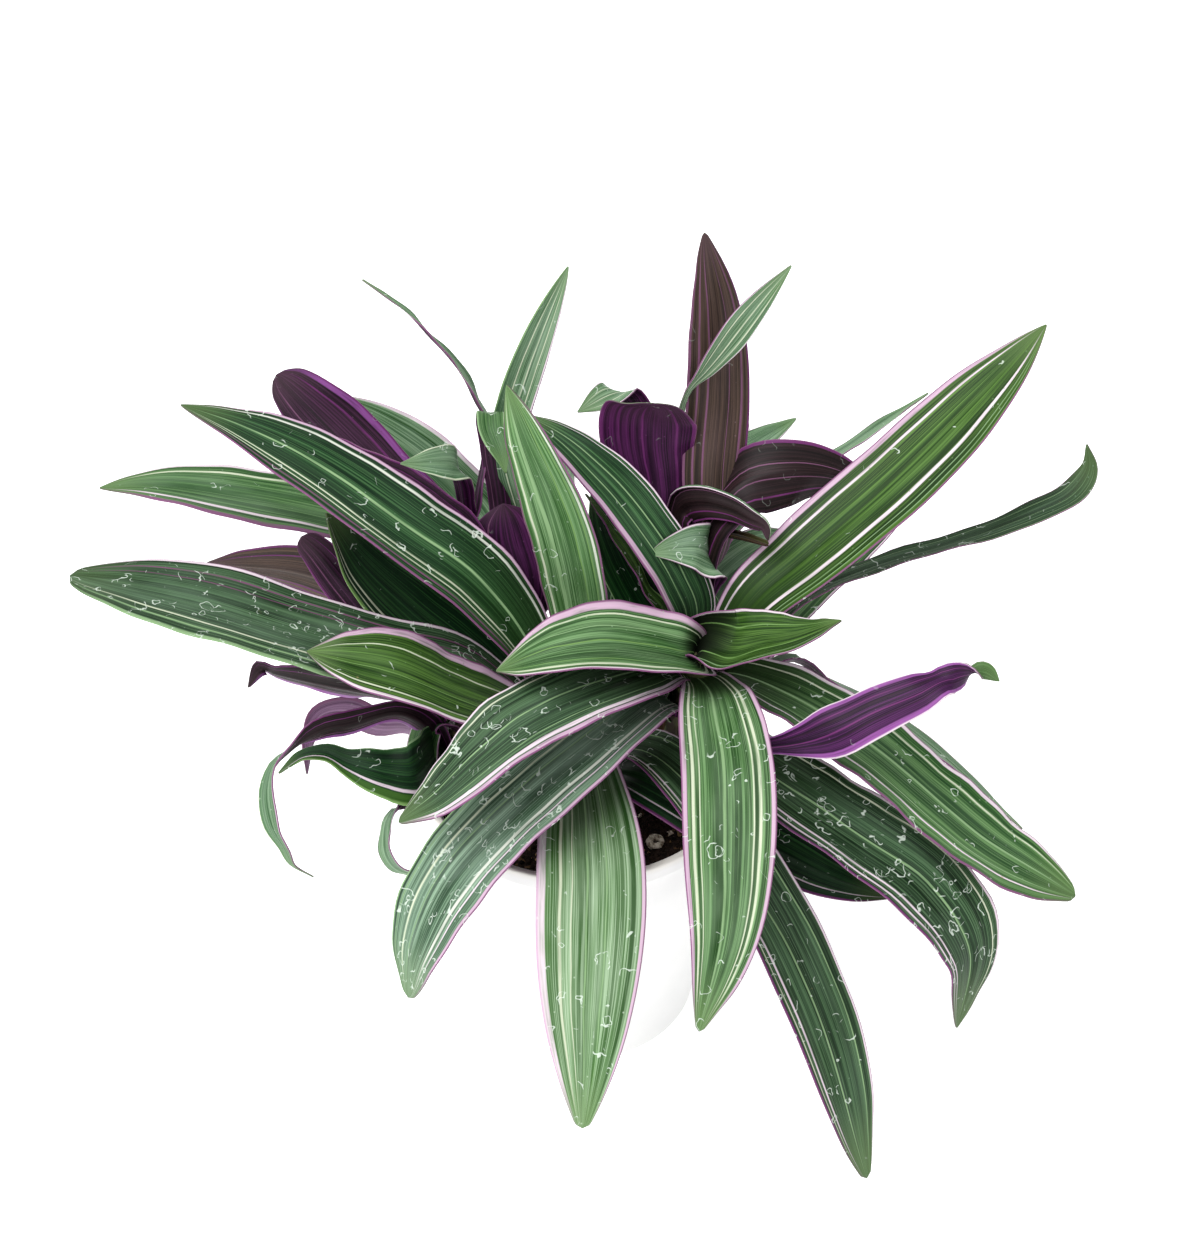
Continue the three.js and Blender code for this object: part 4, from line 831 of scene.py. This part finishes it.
def crossSection(leaf, u, half):
    # Places across the blade, each (sideways, up), from the turning of its section; the middle is at zero.
    if leaf["folds"]:
        fold = follow(leaf["folds"], u)
    else:
        extra = bladeSet["sheathFold"] - leaf["fold"]
        fold = leaf["fold"] * (1 - u / 2) + extra * math.exp(-u / bladeSet["foldFade"])
    fold = math.radians(fold)
    grown = ease((u - bladeSet["curlFrom"]) / bladeSet["curlOver"])
    curls = [math.radians(turn) * grown for turn in leaf["curl"]]
    columns, cuts = bladeSet["columns"], bladeSet["cuts"]
    middle = columns.index(0)

    def slope(v):
        share = ease((abs(v) - bladeSet["curlStart"]) / (1 - bladeSet["curlStart"]))
        return fold * v + (-curls[0] * share if v < 0 else curls[1] * share)

    places = [None] * len(columns)
    places[middle] = (0.0, 0.0)
    for way in (-1, 1):
        x = y = 0.0
        k = middle
        while 0 <= k + way < len(columns):
            v0, v1 = columns[k], columns[k + way]
            for part in range(cuts):
                v = v0 + (v1 - v0) * (part + 0.5) / cuts
                x += math.cos(slope(v)) * (v1 - v0) / cuts
                y += math.sin(slope(v)) * (v1 - v0) / cuts
            k += way
            places[k] = (x * half, y * half)
    return places


def bladePoints(leaf):
    crown = crowns[leaf["name"][0]]
    turn = math.radians(leaf["faces"])
    outward = Vector((math.cos(turn), math.sin(turn), 0))
    reach = bladeSet["grownReach"] if leaf["grown"] else bladeSet["reach"]
    if leaf["reach"] is not None:
        reach = leaf["reach"]
    start = axisPoint(crown, leaf["at"]) + outward * reach
    second = axisPoint(crown, leaf["at"] + bladeSet["sheathHeight"])
    second += outward * (reach + bladeSet["sheathOpen"])
    rib = Midrib([start, second] + [Vector(point) for point in leaf["path"]])
    sideways = outward.cross(worldUp)
    chance = random.Random(leaf["name"])
    phases = [chance.uniform(0, bladeSet["cycle"]) for _ in range(6)]
    counts = [chance.uniform(2.2, 4.2) for _ in range(2)]
    rows = []
    steps = bladeSet["steps"]
    for i in range(steps + 1):
        u = i / steps
        u -= bladeSet["crowding"] * math.sin(fullTurn * u) / fullTurn  # closer rows at both ends
        centre, along = rib.pointAt(u), rib.tangentAt(u)
        flat = (sideways - along * sideways.dot(along)).normalized()
        rise = flat.cross(along)
        if leaf["turns"]:
            roll = math.radians(follow(leaf["turns"], u) * min(1, u / bladeSet["turnIn"]))
        else:
            twist = ease((u - bladeSet["twistStart"]) / bladeSet["twistLength"])
            roll = leaf["roll"][0] + (leaf["roll"][1] - leaf["roll"][0]) * twist
            roll = math.radians(roll * min(1, u / bladeSet["rollIn"]))
        side = flat * math.cos(roll) + rise * math.sin(roll)
        face = rise * math.cos(roll) - flat * math.sin(roll)
        half = halfWidth(leaf, u, rib.length)
        body = ease(u / bladeSet["waveIn"]) * ease((1 - u) / bladeSet["waveOut"])
        row = []
        for v, (x, y) in zip(bladeSet["columns"], crossSection(leaf, u, half)):
            which = 0 if v < 0 else 1
            swing = bladeSet["cycle"] * counts[which] * u
            ripple = math.sin(swing + phases[which]) + 0.5 * math.sin(2.3 * swing + phases[2 + which])
            lift = leaf["wave"] * ripple * abs(v) ** 2.5 * body
            ridge = math.sin(bladeSet["ridgeTurn"] * v + phases[4] + 3 * u)
            lift += bladeSet["ridge"] * ridge * body * (1 - abs(v)) * min(1, half / 12)
            lift -= bladeSet["keel"] * math.exp(-abs(v) * half / bladeSet["keelWidth"]) * body
            row.append(centre + side * x + face * (y + lift))
        rows.append((u, row))
    return rows


def bladeMesh(mesh, leaf, materialStart=0):
    # Adds one closed blade to a bmesh: upper face, rim and lower face, with the blade's own UV map.
    grid = bladePoints(leaf)
    uvLayer = mesh.loops.layers.uv.get("blade") or mesh.loops.layers.uv.new("blade")
    columns = bladeSet["columns"]
    last, count = len(columns) - 1, len(grid)
    upper, lower = [], []
    for i, (u, row) in enumerate(grid):
        upperRow, lowerRow = [], []
        for j, spot in enumerate(row):
            lengthways = grid[min(i + 1, count - 1)][1][j] - grid[max(i - 1, 0)][1][j]
            crossways = row[min(j + 1, last)] - row[max(j - 1, 0)]
            normal = crossways.cross(lengthways).normalized()
            midrib = (1 - abs(columns[j])) * (1 - u ** 2)
            thick = bladeSet["thin"] + (bladeSet["thick"] - bladeSet["thin"]) * midrib
            inset = bladeSet["rimInset"] if j in (0, last) else 0.0
            upperRow.append(mesh.verts.new((spot - normal * inset) * mm))
            lowerRow.append(mesh.verts.new((spot - normal * (thick - inset)) * mm))
        upper.append(upperRow)
        lower.append(lowerRow)

    def face(verts, places, index):
        made = mesh.faces.new(verts)
        made.smooth = True
        made.material_index = materialStart + index
        for loop, place in zip(made.loops, places):
            loop[uvLayer].uv = place

    def where(i, j):
        return (grid[i][0], (columns[j] + 1) / 2)

    for i in range(count - 1):
        for j in range(last):
            corners = [(i, j), (i, j + 1), (i + 1, j + 1), (i + 1, j)]
            face([upper[a][b] for a, b in corners], [where(a, b) for a, b in corners], 0)
            corners.reverse()
            face([lower[a][b] for a, b in corners], [where(a, b) for a, b in corners], 1)
        for j in (0, last):
            ring = [(lower, i), (upper, i), (upper, i + 1), (lower, i + 1)]
            if j:
                ring.reverse()
            face([part[k][j] for part, k in ring], [where(k, j) for _, k in ring], 0)
    for i in (0, count - 1):
        for j in range(last):
            ring = [(upper, j), (lower, j), (lower, j + 1), (upper, j + 1)]
            if i:
                ring.reverse()
            face([part[i][k] for part, k in ring], [where(i, k) for _, k in ring], 0)


def ringOf(mesh, radius, sides, heightAt):
    ring = []
    for k in range(sides):
        angle = fullTurn * k / sides
        x, y = radius * math.cos(angle), radius * math.sin(angle)
        ring.append(mesh.verts.new((x * mm, y * mm, heightAt(x, y) * mm)))
    return ring


def joinRings(mesh, low, high):
    # Either ring may be one vertex on the axis.
    sides = max(len(low), len(high))
    for k in range(sides):
        n = (k + 1) % sides
        if len(low) == 1:
            corners = (low[0], high[n], high[k])
        elif len(high) == 1:
            corners = (low[k], low[n], high[0])
        else:
            corners = (low[k], low[n], high[n], high[k])
        mesh.faces.new(corners).smooth = True


def finishMesh(name, mesh, materials):
    data = bpy.data.meshes.new(name)
    mesh.to_mesh(data)
    mesh.free()
    for material in materials:
        data.materials.append(material)
    item = bpy.data.objects.new(name, data)
    scene.collection.objects.link(item)
    return item


def applyModifiers(item):
    solid = bpy.data.meshes.new_from_object(item.evaluated_get(bpy.context.evaluated_depsgraph_get()))
    item.modifiers.clear()
    item.data = solid


def settle(item, slotName, *nodes):
    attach(item, "root")
    if nodes:
        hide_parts(*nodes)


def bothFinishes(leaf):
    name = leaf["name"]
    return [leafMaterial("leafTop_" + name, leaf, True), leafMaterial("leafUnder_" + name, leaf, False)]


def makeLeaf(name):
    leaf = leafLook(name)
    mesh = bmesh.new()
    bladeMesh(mesh, leaf)
    item = finishMesh("blade_" + name, mesh, bothFinishes(leaf))
    settle(item, "leaf", "leaf_" + name)


for leafName, entry in leaves.items():
    if not entry.get("grown"):
        makeLeaf(leafName)
print("leaves made")

# Stems with their youngest leaves

stemSet = {
    "radius": 5.9, "bottom": 78, "sides": 28, "ringStep": 1.5,
    "budLength": 7, "budRadius": 3.4, "stubLength": 3, "endRings": 8,
    "jointRise": 0.5, "jointLength": 1.6, "mostRise": 0.4,
}


def stemMaterial(name):
    material, tree, shader, place = startMaterial(name)
    parts = partsOf(tree, place)
    stretched = addNode(tree, "ShaderNodeMapping", {"Vector": place, "Scale": (420, 420, 40)}).outputs[0]
    fibre = noiseOf(tree, stretched, 1.0, 2.0)
    patch = noiseOf(tree, place, 70.0, 3.0)
    colour = mixColour(tree, rangeOf(tree, fibre, 0.35, 0.68), tint(78, 96, 52), tint(124, 132, 84))
    colour = mixColour(tree, rangeOf(tree, patch, 0.42, 0.6), colour, tint(86, 52, 74))
    low = rangeOf(tree, plus(tree, parts[2], times(tree, patch, 0.03)), 0.128, 0.15, 1.0, 0.0)
    colour = mixColour(tree, times(tree, low, 0.8), colour, tint(118, 92, 58))
    feed(tree, shader, {
        "Base Color": colour, "Roughness": rangeOf(tree, patch, 0.3, 0.7, 0.45, 0.68),
        "Normal": bumpOf(tree, 0.5, 0.0006, fibre),
    })
    return material


def makeStem(name):
    crown = crowns[name]
    foot, heart = Vector(crown["foot"]), Vector(crown["heart"])
    axis = (heart - foot).normalized()
    across = axis.cross(Vector((0, 1, 0))).normalized()
    other = axis.cross(across)
    bases = sorted(entry["at"] for leafName, entry in leaves.items() if leafName[0] == name)
    mesh = bmesh.new()
    mesh.loops.layers.uv.new("blade")
    rings = []
    height = stemSet["bottom"]
    top = crown.get("top", heart.z)
    heights = []
    while height < top:
        heights.append(height)
        height += stemSet["ringStep"]
    heights.append(top)
    endLength = stemSet["budLength" if crown["bud"] else "stubLength"]
    for k in range(1, stemSet["endRings"] + 1):
        heights.append(top + endLength * k / stemSet["endRings"])
    for z in heights:
        radius = stemSet["radius"] * (0.93 + 0.03 * math.sin(z * 0.9 + heart.x))
        for base in bases:
            radius += stemSet["jointRise"] * math.exp(-((z - base + 1) / stemSet["jointLength"]) ** 2)
        radius = min(radius, stemSet["radius"] + stemSet["mostRise"])
        if z > top:
            share = (z - top) / (heights[-1] - top)
            if crown["bud"]:
                radius = stemSet["budRadius"] * (1 - share ** 1.4) + 0.1
            else:
                radius = stemSet["radius"] * math.sqrt(max(0.0, 1 - share)) * (1 - 0.3 * share)
        centre = axisPoint(crown, z)
        ring = []
        for k in range(stemSet["sides"]):
            angle = fullTurn * k / stemSet["sides"]
            away = across * math.cos(angle) + other * math.sin(angle)
            ring.append(mesh.verts.new((centre + away * max(radius, 0.05)) * mm))
        rings.append(ring)
    for lowRing, highRing in zip(rings, rings[1:]):
        joinRings(mesh, lowRing, highRing)
    mesh.faces.new(list(reversed(rings[0])))
    mesh.faces.new(rings[-1])
    bmesh.ops.recalc_face_normals(mesh, faces=mesh.faces[:])
    materials = [stemMaterial("stemGreen_" + name)]
    for leafName, entry in leaves.items():
        if entry.get("grown") and leafName[0] == name:
            leaf = leafLook(leafName)
            bladeMesh(mesh, leaf, len(materials))
            materials += bothFinishes(leaf)
    item = finishMesh("stalk_" + name, mesh, materials)
    settle(item, "stem", "stem_" + name)


for crownName in crowns:
    makeStem(crownName)
print("stems made")

# Pot

potSet = {
    "topRadius": 60.0, "baseRadius": 43.0, "height": 115.0, "wall": 2.5, "floor": 3.0,
    "lipHeight": 7.0, "lipOut": 1.4, "sides": 144, "holes": 6, "holeRadius": 4.0, "holeRing": 27.0,
}


def potRadiusAt(height):
    slope = potSet["topRadius"] - potSet["lipOut"] - potSet["baseRadius"]
    return potSet["baseRadius"] + slope * height / potSet["height"]


def lathe(mesh, profile, sides):
    # Profile points are (radius, height); a radius of 0 closes on the axis.
    rings = [ringOf(mesh, radius, sides if radius else 1, lambda x, y: height) for radius, height in profile]
    for low, high in zip(rings, rings[1:]):
        joinRings(mesh, low, high)


def rounded(start, corner, end, cuts=5):
    # A corner of the profile turned into a short curve.
    made = []
    for k in range(cuts + 1):
        t = k / cuts
        triples = zip(start, corner, end)
        made.append(tuple(a * (1 - t) ** 2 + 2 * b * t * (1 - t) + c * t * t for a, b, c in triples))
    return made


def potMaterial():
    material, tree, shader, place = startMaterial("whitePot")
    parts = partsOf(tree, place)
    cloud = noiseOf(tree, place, 22.0, 4.0, 0.55)
    fine = noiseOf(tree, place, 900.0, 2.0)
    colour = mixColour(tree, rangeOf(tree, cloud, 0.35, 0.7), tint(246, 246, 244), tint(238, 239, 237))
    rim = rangeOf(tree, plus(tree, parts[2], times(tree, cloud, 0.004)), 0.1135, 0.117)
    colour = mixColour(tree, times(tree, rim, 0.5), colour, tint(228, 222, 204))
    feed(tree, shader, {
        "Base Color": colour, "Roughness": rangeOf(tree, cloud, 0.3, 0.7, 0.28, 0.4),
        "Normal": bumpOf(tree, 0.08, 0.0008, plus(tree, times(tree, fine, 0.3), cloud)),
    })
    return material


def makePot():
    top, tall, wall = potSet["topRadius"], potSet["height"], potSet["wall"]
    base, floor, lip = potSet["baseRadius"], potSet["floor"], potSet["height"] - potSet["lipHeight"]
    profile = [(0, 0), (base - 6, 0), (base - 3, 0)]
    profile += rounded((base - 2.4, 0.0), (base + 0.1, 0.1), (base + 0.4, 3.0))
    profile += [(potRadiusAt(h), h) for h in (12, 30, 50, 70, 90, 102)]
    profile += rounded((potRadiusAt(lip - 1.6), lip - 1.6), (potRadiusAt(lip) + 0.1, lip),
                       (top - 0.35, lip + 0.1), 4)
    profile += rounded((top - 0.3, lip + 0.15), (top, lip + 0.2), (top, lip + 0.9), 3)
    profile += [(top, lip + 3), (top, tall - 1.6)]
    profile += rounded((top, tall - 1.2), (top, tall), (top - 1.2, tall), 5)
    profile += rounded((top - wall + 1.0, tall), (top - wall, tall), (top - wall - 0.1, tall - 1.0), 4)
    profile += [(potRadiusAt(h) - wall, h) for h in (tall - 3, 90, 50)]
    profile += rounded((potRadiusAt(floor + 3) - wall, floor + 3), (base - wall, floor),
                       (base - wall - 3, floor), 4)
    profile += [(0, floor)]
    mesh = bmesh.new()
    lathe(mesh, profile, potSet["sides"])
    bmesh.ops.recalc_face_normals(mesh, faces=mesh.faces[:])
    pot = finishMesh("pot_white", mesh, [potMaterial()])
    cutters = bmesh.new()
    for k in range(potSet["holes"]):
        angle = (k + 0.5) * fullTurn / potSet["holes"]
        spot = Vector((math.cos(angle), math.sin(angle), 0)) * potSet["holeRing"] * mm
        bmesh.ops.create_cone(cutters, cap_ends=True, segments=32, radius1=potSet["holeRadius"] * mm,
                              radius2=potSet["holeRadius"] * mm, depth=0.02, matrix=Matrix.Translation(spot))
    cutter = finishMesh("holeCutter", cutters, [])
    cut = pot.modifiers.new("holes", "BOOLEAN")
    cut.operation = "DIFFERENCE"
    cut.solver = "EXACT"
    cut.object = cutter
    applyModifiers(pot)
    bpy.data.objects.remove(cutter)
    settle(pot, "pot", "pot")


makePot()
print("pot made")

# Soil

soilSet = {
    "level": 104.0, "bottom": 3.3, "bottomRadius": 39.5, "hump": 2.2, "gap": 0.4, "rough": 1.1,
    "rings": 46, "around": 110, "patchRings": 14, "patchAround": 60,
    "crumbs": {
        "reach": 51, "amount": 1500, "seed": 4, "smallest": 0.4, "largest": 1.3, "cuts": 1, "dent": 0.9,
    },
    "perlite": {
        "reach": 48, "amount": 26, "seed": 7, "smallest": 0.8, "largest": 1.7, "cuts": 2, "dent": 0.8,
    },
    "ringAt": (27, -31), "ringLift": 1.1, "ringRadius": 2.2, "ringTube": 1.2,
    "ringTurns": 28, "ringSides": 14,
}


def soilHeight(x, y):
    away = math.hypot(x, y) / (potRadiusAt(soilSet["level"]) - potSet["wall"])
    wave = math.sin(x * 0.16 + 1) * math.cos(y * 0.19 - 0.6) + 0.5 * math.sin(x * 0.31 - y * 0.27)
    height = soilSet["level"] + soilSet["hump"] * (1 - min(away, 1) ** 4) * (0.5 + 0.5 * wave)
    lumps = noise.fractal(Vector((x, y, 0)) * 0.35, 0.9, 2.1, 4) * soilSet["rough"]
    return height + lumps * (1 - min(away, 1) ** 8)


def soilMaterial():
    material, tree, shader, place = startMaterial("pottingSoil")
    grain = noiseOf(tree, place, 420.0, 5.0, 0.65)
    distance, pick = cellsOf(tree, place, 380.0)
    colour = mixColour(tree, rangeOf(tree, grain, 0.35, 0.7), tint(22, 16, 13), tint(62, 46, 36))
    fleck = times(tree, calc(tree, "GREATER_THAN", pick[0], 0.94), 0.5)
    colour = mixColour(tree, fleck, colour, tint(120, 92, 62))
    feed(tree, shader, {
        "Base Color": colour, "Roughness": rangeOf(tree, grain, 0.3, 0.7, 0.85, 1.0),
        "Specular IOR Level": 0.2,
        "Normal": bumpOf(tree, 0.9, 0.002, plus(tree, grain, times(tree, distance, -0.8))),
    })
    return material


def makeSoil():
    mesh = bmesh.new()
    around, count = soilSet["around"], soilSet["rings"]
    inset = potSet["wall"] + soilSet["gap"]
    bottom = soilSet["bottom"]
    rings = []
    for radius, height in ((soilSet["bottomRadius"], bottom), (potRadiusAt(6) - inset, 6.0),
                           (potRadiusAt(60) - inset, 60.0)):
        rings.append(ringOf(mesh, radius, around, lambda x, y: height))
    edge = potRadiusAt(soilSet["level"]) - inset
    for step in range(count):
        rings.append(ringOf(mesh, edge * (1 - step / count), around, soilHeight))
    under = mesh.verts.new((0, 0, bottom * mm))
    middle = mesh.verts.new((0, 0, soilHeight(0, 0) * mm))
    for low, high in zip(rings, rings[1:]):
        joinRings(mesh, low, high)
    for k in range(around):
        n = (k + 1) % around
        mesh.faces.new((rings[0][n], rings[0][k], under))
        mesh.faces.new((rings[-1][k], rings[-1][n], middle)).smooth = True
    bmesh.ops.recalc_face_normals(mesh, faces=mesh.faces[:])
    soil = finishMesh("soil_bed", mesh, [soilMaterial()])
    settle(soil, "soil", "soil")


def scatterTree(label, cuts, dent):
    # Lumps set on a surface: instances of one small uneven ball, realised.
    tree = bpy.data.node_groups.new(label, "GeometryNodeTree")
    kinds = {"Geometry": "Geometry", "Density": "Float", "Smallest": "Float", "Largest": "Float",
             "Seed": "Int", "Finish": "Material"}
    for name, kind in kinds.items():
        tree.interface.new_socket(name=name, in_out="INPUT", socket_type="NodeSocket" + kind)
    tree.interface.new_socket(name="Geometry", in_out="OUTPUT", socket_type="NodeSocketGeometry")
    given = tree.nodes.new("NodeGroupInput").outputs
    points = addNode(tree, "GeometryNodeDistributePointsOnFaces", {
        "Mesh": given["Geometry"], "Density": given["Density"], "Seed": given["Seed"],
    }).outputs["Points"]
    ball = addNode(tree, "GeometryNodeMeshIcoSphere", {"Radius": 1.0, "Subdivisions": cuts}).outputs[0]
    bumps = addNode(tree, "ShaderNodeTexNoise", {"Scale": 1.1, "Detail": 2.0}).outputs[1]
    shift = vectorCalc(tree, "SUBTRACT", {0: bumps, 1: (0.5, 0.5, 0.5)})
    shift = vectorCalc(tree, "SCALE", {0: shift, "Scale": dent})
    lump = addNode(tree, "GeometryNodeSetPosition", {"Geometry": ball, "Offset": shift}).outputs[0]
    turn = addNode(tree, "FunctionNodeRandomValue", {
        1: (6.28, 6.28, 6.28), "Seed": given["Seed"],
    }, data_type="FLOAT_VECTOR").outputs[0]
    smallest = joined(tree, given["Smallest"], given["Smallest"], given["Smallest"])
    largest = joined(tree, given["Largest"], given["Largest"], given["Largest"])
    size = addNode(tree, "FunctionNodeRandomValue", {
        0: smallest, 1: largest, "Seed": given["Seed"],
    }, data_type="FLOAT_VECTOR").outputs[0]
    placed = addNode(tree, "GeometryNodeInstanceOnPoints", {
        "Points": points, "Instance": lump, "Rotation": turn, "Scale": size,
    }).outputs[0]
    solid = addNode(tree, "GeometryNodeRealizeInstances", {"Geometry": placed}).outputs[0]
    done = addNode(tree, "GeometryNodeSetMaterial", {"Geometry": solid, "Material": given["Finish"]})
    tree.links.new(done.outputs[0], tree.nodes.new("NodeGroupOutput").inputs["Geometry"])
    return tree


def crumbMaterial():
    material, tree, shader, place = startMaterial("soilCrumbs")
    pick = cellsOf(tree, place, 260.0)[1][0]
    colour = mixColour(tree, pick, tint(12, 8, 6), tint(46, 33, 24))
    colour = mixColour(tree, rangeOf(tree, pick, 0.86, 0.94), colour, tint(150, 122, 84))
    feed(tree, shader, {"Base Color": colour, "Roughness": 0.95, "Specular IOR Level": 0.2})
    return material


def perliteMaterial():
    material, tree, shader, place = startMaterial("perliteGrain")
    rough = noiseOf(tree, place, 700.0, 4.0, 0.6)
    colour = mixColour(tree, rangeOf(tree, rough, 0.38, 0.6), tint(126, 110, 86), tint(236, 228, 208))
    feed(tree, shader, {"Base Color": colour, "Roughness": 0.9, "Normal": bumpOf(tree, 0.8, 0.001, rough)})
    return material


def soilPatch(reach):
    # The open top of the soil, without its outermost rim, for setting lumps on.
    mesh = bmesh.new()
    rings, around = soilSet["patchRings"], soilSet["patchAround"]
    middle = mesh.verts.new((0, 0, soilHeight(0, 0) * mm))
    before = None
    for step in range(1, rings + 1):
        ring = ringOf(mesh, reach * step / rings, around, soilHeight)
        for k in range(around):
            n = (k + 1) % around
            if before is None:
                mesh.faces.new((middle, ring[k], ring[n]))
            else:
                mesh.faces.new((before[k], ring[k], ring[n], before[n]))
        before = ring
    return mesh


def scatter(name, grains, material):
    item = finishMesh(name, soilPatch(grains["reach"]), [material])
    tree = scatterTree(name + "Nodes", grains["cuts"], grains["dent"])
    layer = item.modifiers.new("lumps", "NODES")
    layer.node_group = tree
    area = math.pi * (grains["reach"] * mm) ** 2
    wanted = {
        "Density": grains["amount"] / area, "Smallest": grains["smallest"] * mm,
        "Largest": grains["largest"] * mm, "Seed": grains["seed"], "Finish": material,
    }
    for socket in tree.interface.items_tree:
        if socket.in_out == "INPUT" and socket.name in wanted:
            layer[socket.identifier] = wanted[socket.name]
    applyModifiers(item)
    for face in item.data.polygons:
        face.use_smooth = True
    settle(item, "soil")


def makePerliteRing():
    # The large pale grain with a hollow middle, near the front of the rim.
    mesh = bmesh.new()
    spot = Vector((soilSet["ringAt"][0], soilSet["ringAt"][1], 0))
    spot.z = soilHeight(spot.x, spot.y) + soilSet["ringLift"]
    turns, sides = soilSet["ringTurns"], soilSet["ringSides"]
    grid = []
    for i in range(turns):
        a = fullTurn * i / turns
        row = []
        for k in range(sides):
            b = fullTurn * k / sides
            lump = 1 + 0.5 * noise.noise(Vector((math.cos(a) * 1.6, math.sin(a) * 1.6, math.cos(b))))
            tube = soilSet["ringTube"] * lump
            reach = soilSet["ringRadius"] + tube * math.cos(b)
            away = Vector((reach * math.cos(a), reach * math.sin(a), tube * math.sin(b)))
            row.append(mesh.verts.new((spot + away) * mm))
        grid.append(row)
    for i in range(turns):
        for k in range(sides):
            n, m = (i + 1) % turns, (k + 1) % sides
            mesh.faces.new((grid[i][k], grid[n][k], grid[n][m], grid[i][m])).smooth = True
    bmesh.ops.recalc_face_normals(mesh, faces=mesh.faces[:])
    settle(finishMesh("perlite_ring", mesh, [perliteMaterial()]), "soil")


makeSoil()
scatter("soil_crumbs", soilSet["crumbs"], crumbMaterial())
scatter("soil_perlite", soilSet["perlite"], perliteMaterial())
makePerliteRing()
print("soil made")

# Floor and light

lightSet = {
    "sky": 0.7, "floorGlow": 0.46,
    "floorSize": 40.0, "floorDrop": 0.0002,  # metres
    "sunPower": 3.1, "sunAngle": 55.0, "sunFrom": (-0.45, -0.25, 1.0),
}


def addSun():
    data = bpy.data.lights.new("softSun", "SUN")
    data.energy = lightSet["sunPower"]
    data.angle = math.radians(lightSet["sunAngle"])
    lamp = bpy.data.objects.new("softSun", data)
    lamp.rotation_euler = Vector(lightSet["sunFrom"]).to_track_quat("Z", "Y").to_euler()
    scene.collection.objects.link(lamp)


def makeStudio():
    mesh = bmesh.new()
    bmesh.ops.create_grid(mesh, x_segments=1, y_segments=1, size=lightSet["floorSize"])
    material, tree, shader, place = startMaterial("paleFloor")
    cloud = noiseOf(tree, place, 3.0, 2.0)
    colour = mixColour(tree, cloud, tint(252, 252, 252), tint(248, 249, 250))
    feed(tree, shader, {
        "Base Color": colour, "Roughness": 0.9, "Specular IOR Level": 0.1,
        "Emission Color": (1, 1, 1, 1), "Emission Strength": lightSet["floorGlow"],
    })
    floor = finishMesh("floor", mesh, [material])
    floor.location = (0, 0, -lightSet["floorDrop"])
    world = bpy.data.worlds.new("studio")
    world.use_nodes = True
    sky = world.node_tree.nodes["Background"].inputs
    sky[0].default_value = (1, 1, 1, 1)
    sky[1].default_value = lightSet["sky"]
    scene.world = world
    addSun()
    scene.view_settings.view_transform = "Standard"
    scene.view_settings.look = "None"


makeStudio()
print("studio set")
